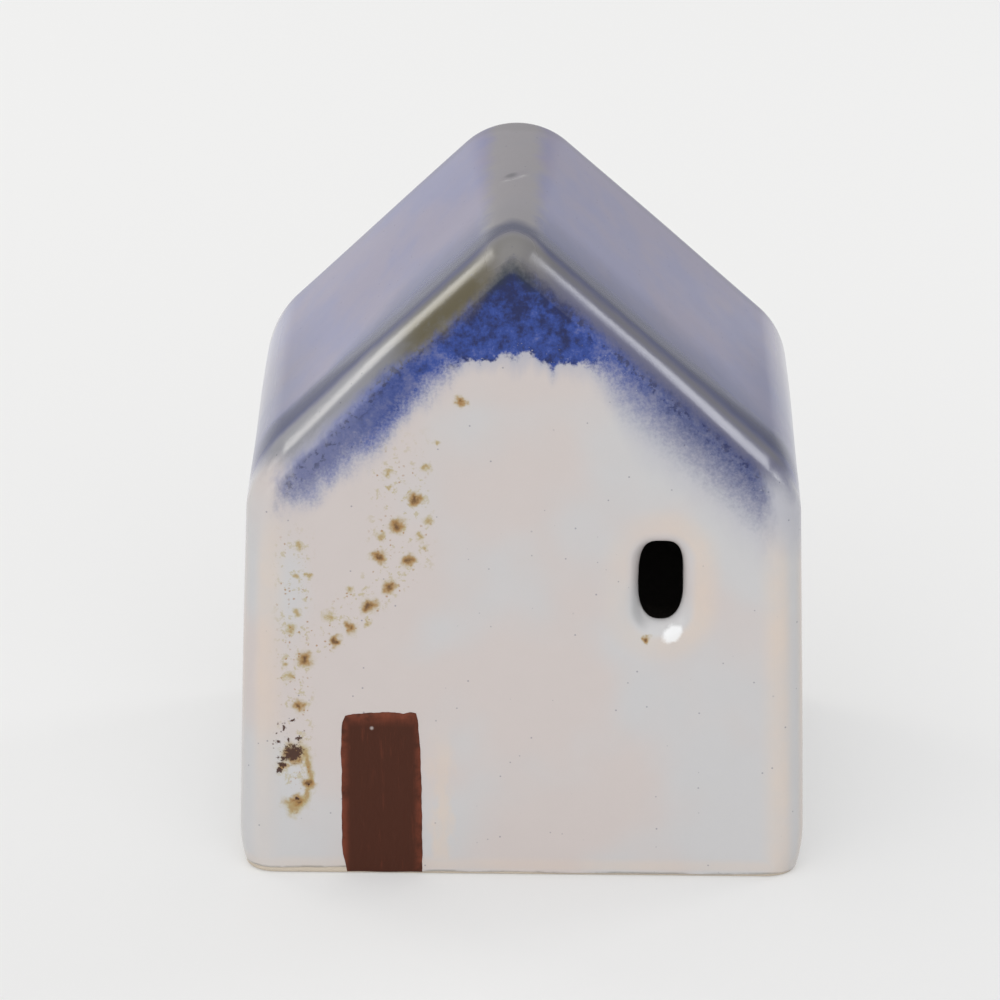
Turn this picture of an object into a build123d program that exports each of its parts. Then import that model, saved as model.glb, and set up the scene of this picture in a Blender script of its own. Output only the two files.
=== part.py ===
from build123d import *
import os

# A slab-built stoneware house that is set over a tealight. Millimetres, +Z up.
# The origin is on the ground under the middle of the house, and its front faces -Y.

# House outline from the front: corners where its straight lines would meet
foot_width = 87.9
eave_width = 84.0
left_eave_height = 66.0
right_eave_height = 65.2
ridge_height = 104.2
ridge_shift = -2.0
house_depth = 74.0

# Clay slabs and their roundings
slab = 5.0
left_eave_radius = 16.5
right_eave_radius = 13.5
front_ridge_radius = 5.2
rear_ridge_radius = 12.4
edge_radius = 4.4
inner_radius = 7.0
foot_draw = 1.5
foot_rise = 7.8
foot_bevel = 0.6

# Window cut through the front gable
window_width = 6.8
window_height = 13.6
window_corner = 3.0
widest_corner_share = 0.45
window_rim = 1.9
window_across = 20.9
window_up = 48.4

# Door brushed on the front gable
door_width = 12.7
door_top = 27.3
door_corner = 0.8
door_across = -21.5
enamel = 0.3

# Tealight cup with a rolled rim
cup_diameter = 38.0
cup_height = 16.0
cup_wall = 0.3
cup_base_round = 1.5
rim_bead = 1.0

# Wax, wick and the sustainer that holds the wick's foot
wax_below_rim = 3.5
wax_clearance = 0.1
wick_diameter = 1.6
wick_standing = 8.0
sustainer_diameter = 13.0
sustainer_plate = 0.3
collar_wall = 0.4
collar_height = 3.5
cast_clearance = 0.05

# Outer corners of the gable, clockwise from the left foot, as X and Z
outer_corners = [
    Vector(-foot_width / 2, 0),
    Vector(-eave_width / 2, left_eave_height),
    Vector(ridge_shift, ridge_height),
    Vector(eave_width / 2, right_eave_height),
    Vector(foot_width / 2, 0),
]


def crossing(first, second):
    """Return the point where two lines, each a point and a direction, cross."""
    (start, along), (other_start, other_along) = first, second
    reach = (other_start - start).cross(other_along).Z / along.cross(other_along).Z
    return start + along * reach


def inset_corners(inset):
    """Return the gable's corners with each wall and roof line moved inwards by inset."""
    ground = (Vector(0, 0), Vector(1, 0))
    lines = [ground]
    for start, end in zip(outer_corners, outer_corners[1:]):
        along = (end - start).normalized()
        inward = Vector(along.Y, -along.X)
        lines.append((start + inward * inset, along))
    lines.append(ground)
    return [crossing(line, following) for line, following in zip(lines, lines[1:])]


inner_corners = inset_corners(slab)


def corner_joint(index):
    """Return the plane in which two slabs meet at a corner, facing the later slab."""
    outer = outer_corners[index]
    inward = inner_corners[index] - outer
    return Plane(origin=(outer.X, 0, outer.Y), x_dir=(0, 1, 0), z_dir=(-inward.Y, 0, inward.X))


# Joint planes between the slabs
front_joint = Plane.XZ.offset(house_depth / 2 - slab)
rear_joint = Plane.XZ.offset(slab - house_depth / 2)
left_eave_joint = corner_joint(1)
ridge_joint = corner_joint(2)
right_eave_joint = corner_joint(3)

# The end faces of the house, and the heights inside the cup
front_face = Plane.XZ.offset(house_depth / 2)
rear_face = Plane.XZ.offset(-house_depth / 2)
cup_floor = cup_wall
wax_level = cup_height - wax_below_rim
wick_foot = cup_floor + sustainer_plate
on_base = (Align.CENTER, Align.CENTER, Align.MIN)

# The luted shell, before it is parted into its slabs. Its ridge is rounder at the rear
with BuildPart() as luted_shell:
    left_foot, left_eave, ridge, right_eave, right_foot = outer_corners
    left_knee = left_foot + (left_eave - left_foot) * (foot_rise / left_eave_height)
    right_knee = right_foot + (right_eave - right_foot) * (foot_rise / right_eave_height)
    drawn_left = left_foot + Vector(foot_draw, 0)
    drawn_right = right_foot - Vector(foot_draw, 0)
    gable_ends = [(front_face, front_ridge_radius), (rear_face, rear_ridge_radius)]
    for gable_end, ridge_radius in gable_ends:
        with BuildSketch(gable_end):
            with BuildLine():
                FilletPolyline(
                    left_knee,
                    left_eave,
                    ridge,
                    right_eave,
                    right_knee,
                    radius=[left_eave_radius, ridge_radius, right_eave_radius],
                )
                TangentArc(left_knee, drawn_left, tangent=left_foot - left_eave)
                TangentArc(right_knee, drawn_right, tangent=right_foot - right_eave)
                Line(drawn_left, drawn_right)
            make_face()
    loft(ruled=True)
    gable_faces = luted_shell.faces().sort_by(Axis.Y)
    front_edges = gable_faces[0].edges().sort_by(Axis.Z)
    rear_edges = gable_faces[-1].edges().sort_by(Axis.Z)
    fillet(front_edges[1:] + rear_edges[1:], edge_radius)
    chamfer(luted_shell.faces().sort_by(Axis.Z)[0].edges(), foot_bevel)
    with BuildSketch(Plane.XZ):
        with BuildLine():
            FilletPolyline(*inner_corners, radius=inner_radius)
            Line(inner_corners[-1], inner_corners[0])
        make_face()
    extrude(amount=house_depth / 2 - slab, both=True, mode=Mode.SUBTRACT)

# Front gable, with the window's rim rounded over to the outside
with BuildPart() as front_gable:
    add(luted_shell.part)
    split(bisect_by=front_joint, keep=Keep.TOP)
    with BuildSketch(front_face):
        with Locations((window_across, window_up)):
            widest_corner = widest_corner_share * window_width
            RectangleRounded(window_width, window_height, min(window_corner, widest_corner))
    extrude(amount=-slab, mode=Mode.SUBTRACT)
    fillet(front_gable.faces().sort_by(Axis.Y)[0].inner_wires()[0].edges(), window_rim)
front_gable.part.label = "front_gable"

with BuildPart() as rear_gable:
    add(luted_shell.part)
    split(bisect_by=rear_joint, keep=Keep.BOTTOM)
rear_gable.part.label = "rear_gable"

# Walls and roof between the gables, before they are parted at the eaves and the ridge
with BuildPart() as walls_and_roof:
    add(luted_shell.part)
    split(bisect_by=front_joint, keep=Keep.BOTTOM)
    split(bisect_by=rear_joint, keep=Keep.TOP)

with BuildPart() as left_wall:
    add(walls_and_roof.part)
    split(bisect_by=ridge_joint, keep=Keep.BOTTOM)
    split(bisect_by=left_eave_joint, keep=Keep.BOTTOM)
left_wall.part.label = "left_wall"

with BuildPart() as left_roof:
    add(walls_and_roof.part)
    split(bisect_by=ridge_joint, keep=Keep.BOTTOM)
    split(bisect_by=left_eave_joint, keep=Keep.TOP)
left_roof.part.label = "left_roof"

with BuildPart() as right_roof:
    add(walls_and_roof.part)
    split(bisect_by=ridge_joint, keep=Keep.TOP)
    split(bisect_by=right_eave_joint, keep=Keep.BOTTOM)
right_roof.part.label = "right_roof"

with BuildPart() as right_wall:
    add(walls_and_roof.part)
    split(bisect_by=ridge_joint, keep=Keep.TOP)
    split(bisect_by=right_eave_joint, keep=Keep.TOP)
right_wall.part.label = "right_wall"

# Door, a pad of enamel from the foot bevel up
with BuildPart() as door_enamel:
    door_height = door_top - foot_bevel
    with BuildSketch(front_face):
        with Locations((door_across, foot_bevel + door_height / 2)):
            RectangleRounded(door_width, door_height, door_corner)
    extrude(amount=enamel)
door_enamel.part.label = "door_enamel"

# Tealight cup, its thin wall ending inside the rolled rim
with BuildPart() as tealight_cup:
    Cylinder(cup_diameter / 2, cup_height - rim_bead / 2, align=on_base)
    fillet(tealight_cup.faces().sort_by(Axis.Z)[0].edges(), cup_base_round)
    offset(amount=-cup_wall, openings=tealight_cup.faces().sort_by(Axis.Z)[-1:])
    with Locations((0, 0, cup_height - rim_bead / 2)):
        Torus((cup_diameter - cup_wall) / 2, rim_bead / 2)
tealight_cup.part.label = "tealight_cup"

# Steel sustainer on the cup's floor, with a blind collar for the wick
with BuildPart() as wick_sustainer:
    wick_bore = wick_diameter / 2 + cast_clearance
    collar_radius = wick_bore + collar_wall
    with Locations((0, 0, cup_floor)):
        Cylinder(sustainer_diameter / 2, sustainer_plate, align=on_base)
        Cylinder(collar_radius, collar_height, align=on_base)
    with Locations((0, 0, wick_foot)):
        Cylinder(wick_bore, collar_height, align=on_base, mode=Mode.SUBTRACT)
wick_sustainer.part.label = "wick_sustainer"

with BuildPart() as candle_wick:
    with Locations((0, 0, wick_foot)):
        Cylinder(wick_diameter / 2, wax_level + wick_standing - wick_foot, align=on_base)
candle_wick.part.label = "candle_wick"

# Wax cast round the sustainer and the wick
with BuildPart() as candle_wax:
    wax_radius = cup_diameter / 2 - cup_wall - wax_clearance
    wax_height = wax_level - cup_floor
    plate_pocket = sustainer_diameter / 2 + cast_clearance
    collar_pocket = collar_radius + cast_clearance
    with Locations((0, 0, cup_floor)):
        Cylinder(wax_radius, wax_height, align=on_base)
    fillet(candle_wax.faces().sort_by(Axis.Z)[0].edges(), cup_base_round - cup_wall)
    with Locations((0, 0, cup_floor)):
        Cylinder(plate_pocket, sustainer_plate + cast_clearance, align=on_base, mode=Mode.SUBTRACT)
        Cylinder(collar_pocket, collar_height + cast_clearance, align=on_base, mode=Mode.SUBTRACT)
        Cylinder(wick_bore, wax_height, align=on_base, mode=Mode.SUBTRACT)
candle_wax.part.label = "candle_wax"

os.makedirs("parts", exist_ok=True)
export_step(front_gable.part, "parts/front_gable.step")
export_step(rear_gable.part, "parts/rear_gable.step")
export_step(left_wall.part, "parts/left_wall.step")
export_step(right_wall.part, "parts/right_wall.step")
export_step(left_roof.part, "parts/left_roof.step")
export_step(right_roof.part, "parts/right_roof.step")
export_step(door_enamel.part, "parts/door_enamel.step")
export_step(tealight_cup.part, "parts/tealight_cup.step")
export_step(wick_sustainer.part, "parts/wick_sustainer.step")
export_step(candle_wick.part, "parts/candle_wick.step")
export_step(candle_wax.part, "parts/candle_wax.step")
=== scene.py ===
"""Dresses the tealight house: glazed clay slabs, a brushed-on door and the candle under them.

Laid out as an add-on and run as a script. Metres, +Z up, and the front faces -Y.
"""
import math

import bpy
import numpy as np
from bpy.props import FloatProperty, FloatVectorProperty, IntProperty, PointerProperty
from bpy.types import Operator, Panel, PropertyGroup
from mathutils import Matrix, Vector


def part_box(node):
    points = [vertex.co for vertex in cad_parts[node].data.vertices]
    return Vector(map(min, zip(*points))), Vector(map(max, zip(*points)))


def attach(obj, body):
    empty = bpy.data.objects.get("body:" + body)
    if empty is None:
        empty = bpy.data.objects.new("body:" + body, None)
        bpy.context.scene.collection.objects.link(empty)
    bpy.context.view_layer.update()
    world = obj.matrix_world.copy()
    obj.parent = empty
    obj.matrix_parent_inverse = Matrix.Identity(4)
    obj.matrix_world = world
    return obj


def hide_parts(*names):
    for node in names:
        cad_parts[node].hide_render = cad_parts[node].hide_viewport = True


bl_info = {
    "name": "Tealight house",
    "version": (1, 0, 0),
    "blender": (4, 5, 0),
    "location": "3D View > Sidebar > Tealight house",
    "description": "Builds a glazed stoneware house that is set over a tealight",
    "category": "Object",
}

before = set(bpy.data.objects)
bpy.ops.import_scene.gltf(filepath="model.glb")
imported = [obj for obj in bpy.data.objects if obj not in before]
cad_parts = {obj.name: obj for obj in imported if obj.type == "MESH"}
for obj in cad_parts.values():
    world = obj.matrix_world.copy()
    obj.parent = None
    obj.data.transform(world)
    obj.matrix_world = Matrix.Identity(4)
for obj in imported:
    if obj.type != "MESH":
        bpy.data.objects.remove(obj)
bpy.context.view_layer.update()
MM = 0.001
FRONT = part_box("front_gable")
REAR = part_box("rear_gable")


def linear(red, green, blue):
    """Return a colour, given as it looks on a screen from 0 to 255, as linear values."""
    shares = [channel / 255 for channel in (red, green, blue)]
    return tuple(s / 12.92 if s <= 0.04045 else ((s + 0.055) / 1.055) ** 2.4 for s in shares)


def length(name, description, millimetres):
    """Return a length property with its default in millimetres."""
    return FloatProperty(name=name, description=description, default=millimetres * MM, min=0.0,
                         precision=5, subtype="DISTANCE", unit="LENGTH")


def place(name, description, millimetres):
    """Return a property for a place along an axis, which may be negative."""
    return FloatProperty(name=name, description=description, default=millimetres * MM,
                         precision=5, subtype="DISTANCE", unit="LENGTH")


def colour(name, description, red, green, blue):
    """Return a colour property with its default as it looks on a screen."""
    return FloatVectorProperty(name=name, description=description, subtype="COLOR", size=3,
                               min=0.0, max=1.0, default=linear(red, green, blue))


def light_level(name, description, brightness):
    """Return a brightness property."""
    return FloatProperty(name=name, description=description, default=brightness, min=0.0)


def tilt(name, description, degrees):
    """Return an angle property with its default in degrees."""
    return FloatProperty(name=name, description=description, default=math.radians(degrees),
                         subtype="ANGLE", unit="ROTATION")


class HouseSizes(PropertyGroup):
    """Sizes of the clay slabs, as cut and luted"""

    foot_width: length("Foot width", "Width between the wall lines at the ground", 87.9)
    eave_width: length("Eave width", "Width between the corners of wall and roof lines", 84.0)
    left_eave: length("Left eave", "Height of the left corner of wall and roof lines", 66.0)
    right_eave: length("Right eave", "Height of the right corner of wall and roof lines", 65.2)
    ridge: length("Ridge", "Height at which the roof lines would meet", 104.2)
    ridge_shift: place("Ridge shift", "How far the ridge lies to the right", -2.0)
    front: place("Front", "Place of the front face", FRONT[0].y / MM)
    rear: place("Rear", "Place of the rear face", REAR[1].y / MM)
    slab: length("Slab", "Thickness of the clay slabs", FRONT[1].y / MM - FRONT[0].y / MM)
    left_eave_round: length("Left eave rounding", "Radius over the left eave", 16.5)
    right_eave_round: length("Right eave rounding", "Radius over the right eave", 13.5)
    front_ridge_round: length("Front ridge rounding", "Radius over the ridge at the front", 5.2)
    rear_ridge_round: length("Rear ridge rounding", "Radius over the ridge at the rear", 12.4)
    edge_round: length("Edge rounding", "Radius round the edges of the gables", 4.4)
    rake_roll: length("Rake roll", "Depth over which the roof rolls down to the front gable", 9.5)
    left_roll: length("Left roll", "Depth of the roll at the left eave", 16.8)
    right_roll: length("Right roll", "Depth of the roll at the right eave", 14.0)
    inner_round: length("Inner rounding", "Radius in the corners inside", 7.0)
    foot_draw: length("Foot draw", "How far the foot is drawn in", 1.5)
    foot_rise: length("Foot rise", "Height at which the wall starts to draw in", 7.8)
    foot_bevel: length("Foot bevel", "Rounding wiped round the foot", 0.6)
    hand_press: length("Hand press", "Deepest place pressed in by the maker's hands", 0.22)
    crease_depth: length("Crease depth", "Depth of the crease on the ridge", 0.36)
    bead_height: length("Bead height", "Height of the bead of glaze on the sill", 0.2)
    window_width: length("Window width", "Width of the window", 6.8)
    window_height: length("Window height", "Height of the window", 13.6)
    window_rim: length("Window rim", "Rounding of the window to the outside", 1.9)
    sill_rise: length("Sill rise", "How far the window's sill lies above its even height", 0.75)
    sill_lip: FloatProperty(name="Sill lip", description="Share by which the rim is longer below",
                            default=0.8, min=0.0)
    sill_fall: length("Sill fall", "How far the window's sill falls to the inside", 1.7)
    window_across: place("Window across", "How far the window lies to the right", 20.9)
    window_up: place("Window up", "Height of the middle of the window", 48.4)


class DoorSizes(PropertyGroup):
    """Sizes of the door that is brushed on the front"""

    width: length("Width", "Width of the door", 12.7)
    top: length("Top", "Height of the door's top", 27.3)
    foot: length("Foot", "Height of the door's foot", 0.25)
    across: place("Across", "How far the door lies to the right", -21.5)
    enamel: length("Enamel", "Thickness of the enamel", 0.26)


class CandleSizes(PropertyGroup):
    """Sizes of the tealight"""

    cup_radius: length("Cup radius", "Outer radius of the cup", 19.0)
    cup_height: length("Cup height", "Height of the cup", 16.0)
    cup_wall: length("Cup wall", "Thickness of the cup's metal", 0.3)
    base_round: length("Base rounding", "Rounding from the base to the side", 1.5)
    rim_bead: length("Rim bead", "Diameter of the rolled rim", 1.0)
    rib_depth: length("Rib depth", "Depth of the ribs pressed in the side", 0.10)
    ribs: IntProperty(name="Ribs", description="Ribs pressed round the side", default=60, min=12)
    wax_level: length("Wax level", "Height of the wax", 12.5)
    wick_top: length("Wick top", "Height of the wick's tip", 20.5)
    wick_foot: length("Wick foot", "Height of the wick's foot", 0.6)
    wick_radius: length("Wick radius", "Outer radius of the wick", 0.8)
    strands: IntProperty(name="Strands", description="Strands plaited each way", default=4, min=2)


class GlazeColours(PropertyGroup):
    """Colours of the glazes, the clay and the enamel"""

    white: colour("White", "Cool white glaze on the walls", 199, 198, 199)
    blush: colour("Blush", "Warm patches in the white glaze", 203, 194, 191)
    peach: colour("Peach", "White glaze that ran thin over an edge", 216, 198, 182)
    haze: colour("Haze", "White glaze tinted by the blue above it", 172, 173, 186)
    lavender: colour("Lavender", "Roof glaze where it is thick", 128, 129, 168)
    lilac: colour("Lilac", "Roof glaze where it is pale", 140, 134, 162)
    slate: colour("Slate", "Roof glaze along the gable edges", 66, 70, 98)
    ash: colour("Ash", "Glaze that ran thin over the rakes", 106, 105, 103)
    # Iron is used only for painted shade: beside the window's left rim and behind the crease on the ridge.
    iron: colour("Iron", "Glaze that ran thin above the rakes", 80, 83, 88)
    stone: colour("Stone", "Glaze that ran thin over the ridge", 150, 146, 146)
    olive: colour("Olive", "Iron stain under the left rake", 92, 84, 58)
    cobalt: colour("Cobalt", "Blue glaze", 38, 67, 147)
    pine: colour("Pine", "Iron in the blue under the peak", 22, 34, 40)
    navy: colour("Navy", "Blue glaze where it is thickest", 4, 24, 82)
    periwinkle: colour("Periwinkle", "Blue glaze where it thins", 112, 117, 160)
    amber: colour("Amber", "Iron spot where it melts into the glaze", 158, 114, 56)
    rust: colour("Rust", "Core of an iron spot", 60, 24, 8)
    khaki: colour("Khaki", "Pale iron stain", 176, 162, 112)
    # Near-white used for the painted highlight on the sill's bead.
    bead: colour("Bead", "Bead of white glaze on the sill", 246, 247, 248)
    clay: colour("Clay", "Bare stoneware", 205, 193, 176)
    # Near-black colour laid over the clay inside, from about 5 mm up.
    inner_dark: colour("Soot", "Clay inside, smoked by candles", 30, 26, 24)
    door: colour("Door", "Brown enamel of the door", 72, 38, 26)
    door_edge: colour("Door edge", "Enamel where the brush left it thin", 122, 62, 44)


def house():
    """Return the sizes of the house."""
    return bpy.context.scene.tealight_house


def glaze_colours():
    """Return the colours of the glazes."""
    return bpy.context.scene.tealight_glazes


# Shapes

FOOT_STEPS = 14
WALL_STEPS = 44
EAVE_STEPS = 28
ROOF_STEPS = 64
RIDGE_STEPS = 40
DEPTH_STEPS = 96
EDGE_STEPS = 18
CAP_STEPS = 46
RIM_STEPS = 9
TUNNEL_STEPS = 4
SILL_STEPS = 70

LEFT_EAVE_JOINT = FOOT_STEPS + WALL_STEPS + EAVE_STEPS // 2
RIDGE_JOINT = FOOT_STEPS + WALL_STEPS + EAVE_STEPS + ROOF_STEPS + RIDGE_STEPS // 2
RIGHT_EAVE_JOINT = RIDGE_JOINT + RIDGE_STEPS // 2 + ROOF_STEPS + EAVE_STEPS // 2
STATIONS = 2 * (FOOT_STEPS + WALL_STEPS + EAVE_STEPS + ROOF_STEPS) + RIDGE_STEPS + 1


def ease(low, high, value):
    """Return a smooth step from 0 at low to 1 at high."""
    share = np.clip((value - low) / (high - low), 0.0, 1.0)
    return share * share * (3.0 - 2.0 * share)


def gable_corners():
    """Return the corners of the gable's straight lines, clockwise from the left foot."""
    sizes = house()
    return np.array([
        (-sizes.foot_width / 2, 0.0),
        (-sizes.eave_width / 2, sizes.left_eave),
        (sizes.ridge_shift, sizes.ridge),
        (sizes.eave_width / 2, sizes.right_eave),
        (sizes.foot_width / 2, 0.0),
    ])


def outward(start, end):
    """Return the outward normal of a line that goes clockwise."""
    along = (end - start) / np.linalg.norm(end - start)
    return np.array([-along[1], along[0]])


def turned(first, last, steps):
    """Return steps + 1 unit vectors that turn clockwise from first to last."""
    start = math.atan2(first[1], first[0])
    sweep = math.atan2(last[1], last[0]) - start
    angles = start + (sweep - math.tau if sweep > 0 else sweep) * np.linspace(0, 1, steps + 1)
    return np.column_stack([np.cos(angles), np.sin(angles)])


def foot_arc(knee, wall_normal, drawn, inset):
    """Return the points and normals of a drawn-in foot, from the ground up to the knee."""
    chord = drawn - knee
    radius = chord @ chord / (2 * chord @ -wall_normal)
    middle = knee - radius * wall_normal
    side = math.copysign(1.0, wall_normal[0])
    low = -math.asin(middle[1] / (radius - inset))
    high = math.asin(wall_normal[1])
    shares = np.concatenate([[0.0, 0.025, 0.05, 0.08, 0.115], np.linspace(0.16, 1, FOOT_STEPS - 4)])
    angles = low + (high - low) * shares
    normals = np.column_stack([side * np.cos(angles), np.sin(angles)])
    return middle + (radius - inset) * normals, normals


def gable_outline(inset, ridge_round):
    """Return the points and outward normals of the gable's outline, moved inwards by inset."""
    sizes = house()
    corners = gable_corners()
    lines = [outward(start, end) for start, end in zip(corners, corners[1:])]
    left_foot, left_eave, _, right_eave, right_foot = corners
    left_knee = left_foot + (left_eave - left_foot) * (sizes.foot_rise / sizes.left_eave)
    right_knee = right_foot + (right_eave - right_foot) * (sizes.foot_rise / sizes.right_eave)
    draw = np.array([sizes.foot_draw, 0.0])
    rounds = (sizes.left_eave_round, ridge_round, sizes.right_eave_round)
    arcs = [foot_arc(left_knee, lines[0], left_foot + draw, inset)]
    for corner, radius, first, last, steps in zip(
            corners[1:], rounds, lines, lines[1:], (EAVE_STEPS, RIDGE_STEPS, EAVE_STEPS)):
        middle = corner - radius * (first + last) / (1 + first @ last)
        normals = turned(first, last, steps)
        arcs.append((middle + (radius - inset) * normals, normals))
    points, normals = foot_arc(right_knee, lines[3], right_foot - draw, inset)
    arcs.append((points[::-1], normals[::-1]))
    return joined(arcs, lines)


def inner_foot(foot, line, wall_end):
    """Return the straight foot of the cavity's wall, from the ground up."""
    ground = np.array([foot[0] - house().slab / line[0], 0.0])
    share = np.linspace(0, FOOT_STEPS / (FOOT_STEPS + WALL_STEPS), FOOT_STEPS + 1)[:, None]
    return ground + (wall_end - ground) * share, np.tile(line, (FOOT_STEPS + 1, 1))


def inner_outline():
    """Return the points and outward normals of the cavity's outline, station for station."""
    sizes = house()
    corners = gable_corners()
    lines = [outward(start, end) for start, end in zip(corners, corners[1:])]
    arcs = []
    for corner, first, last, steps in zip(
            corners[1:], lines, lines[1:], (EAVE_STEPS, RIDGE_STEPS, EAVE_STEPS)):
        reach = sizes.slab + sizes.inner_round
        middle = corner - reach * (first + last) / (1 + first @ last)
        normals = turned(first, last, steps)
        arcs.append((middle + sizes.inner_round * normals, normals))
    left = inner_foot(corners[0], lines[0], arcs[0][0][0])
    points, normals = inner_foot(corners[4], lines[3], arcs[-1][0][-1])
    return joined([left, *arcs, (points[::-1], normals)], lines)


def joined(arcs, lines):
    """Return arcs joined by straight runs, as one row of points and one of normals."""
    points = [arcs[0][0]]
    normals = [arcs[0][1]]
    for before, after, line, steps in zip(
            arcs, arcs[1:], lines, (WALL_STEPS, ROOF_STEPS, ROOF_STEPS, WALL_STEPS)):
        share = np.linspace(0, 1, steps + 1)[1:-1, None]
        points.append(before[0][-1] + (after[0][0] - before[0][-1]) * share)
        normals.append(np.tile(line, (steps - 1, 1)))
        points.append(after[0])
        normals.append(after[1])
    return np.vstack(points), np.vstack(normals)


def in_house(flat, across):
    """Return X and Z rows as places in the house, at the depths given."""
    spread = np.broadcast_to(across, flat.shape[:-1])
    return np.stack([flat[..., 0], spread, flat[..., 1]], axis=-1)


PRESS_WAVES = np.array([(95.0, 60.0, 110.0), (-70.0, 130.0, 62.0), (150.0, -85.0, -78.0)])
PRESS_PHASES = np.array([0.6, 2.1, 4.4])
CREASE_MIDDLE = np.array([-1.9, 2.4]) * MM
CREASE_ALONG = np.array([0.62, 0.78])
CREASE_WIDTH = 0.75 * MM
CREASE_LENGTH = 2.4 * MM
# Bead of glaze on the sill: raised in the geometry, with a painted highlight laid over it.
BEAD_MIDDLE = np.array([22.8, 40.5]) * MM
BEAD_ALONG = np.array([0.77, 0.64])
BEAD_WIDTH = 1.3 * MM
BEAD_LENGTH = 1.8 * MM
ROLL_REACH = 30 * MM


def mark_shares(beside, direction, long, wide):
    """Return how far places lie along and aside of a mark, as shares of its length and width."""
    along = beside @ direction / long
    aside = beside @ np.array([direction[1], -direction[0]]) / wide
    return along, aside


def pressed(points, normals):
    """Return clay points after the maker's hands pressed them in and wiped the foot."""
    sizes = house()
    waves = np.sin(points @ PRESS_WAVES.T + PRESS_PHASES).mean(axis=-1)
    pressing = sizes.hand_press * (0.56 + 0.44 * waves)
    depth = pressing * ease(sizes.foot_bevel, 7 * MM, points[..., 2])
    beside = points[..., :2] - CREASE_MIDDLE
    along, aside = mark_shares(beside, CREASE_ALONG, CREASE_LENGTH, CREASE_WIDTH)
    on_ridge = ease(sizes.ridge - 12 * MM, sizes.ridge - 6 * MM, points[..., 2])
    depth = depth + sizes.crease_depth * np.exp(-along ** 2 - aside ** 2) * on_ridge
    moved = points - normals * depth[..., None]
    left = np.clip(1.0 - points[..., 2] / sizes.foot_bevel, 0.0, 1.0)
    wipe = sizes.foot_bevel * (1.0 - np.sqrt(1.0 - left ** 2))
    level = normals[..., :2]
    level = level / np.maximum(np.linalg.norm(level, axis=-1, keepdims=True), 1e-9)
    moved[..., :2] -= level * wipe[..., None]
    moved[..., 2] = np.maximum(moved[..., 2], 0.0)
    return moved


def wall_skin():
    """Return the outer points between the gables, by station and depth."""
    sizes = house()
    rows = np.linspace(sizes.front + sizes.slab, sizes.rear - sizes.slab, DEPTH_STEPS + 1)
    return skin_rows(rows, np.zeros_like(rows), np.zeros_like(rows), 0.0)


def over_roof():
    """Return how far each station is part of the roof, from 0 on the walls to 1 on the slopes."""
    station = np.arange(STATIONS)
    left = ease(LEFT_EAVE_JOINT - 14, LEFT_EAVE_JOINT + 10, station)
    right = ease(RIGHT_EAVE_JOINT + 14, RIGHT_EAVE_JOINT - 10, station)
    return (left * right)[:, None]


def roll_depth(flat):
    """Return the depth over which each station rolls down to the front, deepest at the eaves."""
    sizes = house()
    _, left_eave, _, right_eave, _ = gable_corners()
    depth = sizes.rake_roll
    for eave, deepest in ((left_eave, sizes.left_roll), (right_eave, sizes.right_roll)):
        near = ease(ROLL_REACH, 0.0, np.linalg.norm(flat - eave, axis=1))
        depth = depth + near * (deepest - sizes.rake_roll)
    return depth[:, None]


def skin_rows(rows, insets, leans, facing):
    """Return outer points by station and row. leans turns the normals towards the facing gable."""
    sizes = house()
    on_roof = over_roof()
    sheets = []
    for across, inset, lean in zip(rows, insets, leans):
        share = (across - sizes.front) / (sizes.rear - sizes.front)
        ridge_round = sizes.front_ridge_round * (1 - share) + sizes.rear_ridge_round * share
        flat, normals = gable_outline(inset, ridge_round)
        ahead = np.clip(1.0 - (across - sizes.front) / roll_depth(flat), 0.0, 1.0)
        rolled = np.maximum(sizes.edge_round * (1.0 - np.sqrt(1.0 - ahead ** 2)), inset)
        flat = flat - normals * on_roof * (rolled - inset)
        tilted = in_house(normals * math.cos(lean), facing * math.sin(lean))
        sheets.append(pressed(in_house(flat, across), tilted))
    return np.stack(sheets, axis=1)


def gable_edge(front):
    """Return the rounded edge of a gable by station and row, from its face to its joint."""
    sizes = house()
    facing = -1.0 if front else 1.0
    face = sizes.front if front else sizes.rear
    leans = np.append(np.linspace(math.pi / 2, 0, EDGE_STEPS + 1), 0.0)
    insets = sizes.edge_round * (1 - np.cos(leans))
    rows = face - facing * sizes.edge_round * (1 - np.sin(leans))
    rows[-1] = face - facing * sizes.slab
    return skin_rows(rows, insets, leans, facing)


def window_loop(directions, spread):
    """Return how far the window's edge, widened by spread, lies along rays from its middle."""
    sizes = house()
    across, up = directions[:, 0], directions[:, 1]
    above = ease(-1.0, 1.0, up)
    squareness = 2.45 + above * (0.6 + 0.5 * ease(-1.0, 1.0, across))
    half_width = sizes.window_width / 2 + spread
    half_height = sizes.window_height / 2 - sizes.sill_rise * ease(0.4, -1.0, up) + spread
    total = (abs(across) / half_width) ** squareness + (abs(up) / half_height) ** squareness
    return total ** (-1.0 / squareness)


def gable_loop(edge):
    """Return a gable row closed along the ground, from the left foot over the ridge and back."""
    share = np.linspace(0, 1, SILL_STEPS + 1)[1:-1, None]
    ground = edge[-1] + (edge[0] - edge[-1]) * share
    return np.vstack([edge, ground])


CAP_SHARES = np.append(np.linspace(0, 0.986, CAP_STEPS - 3), [0.9895, 0.9925, 0.996, 1.0])


def pooled(points):
    """Return how high a bead of glaze stands on the window's sill, as a share of its height."""
    beside = points[..., [0, 2]] - BEAD_MIDDLE
    along, aside = mark_shares(beside, BEAD_ALONG, BEAD_LENGTH, BEAD_WIDTH)
    return ease(1.15, 0.25, np.hypot(along, aside))


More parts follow.
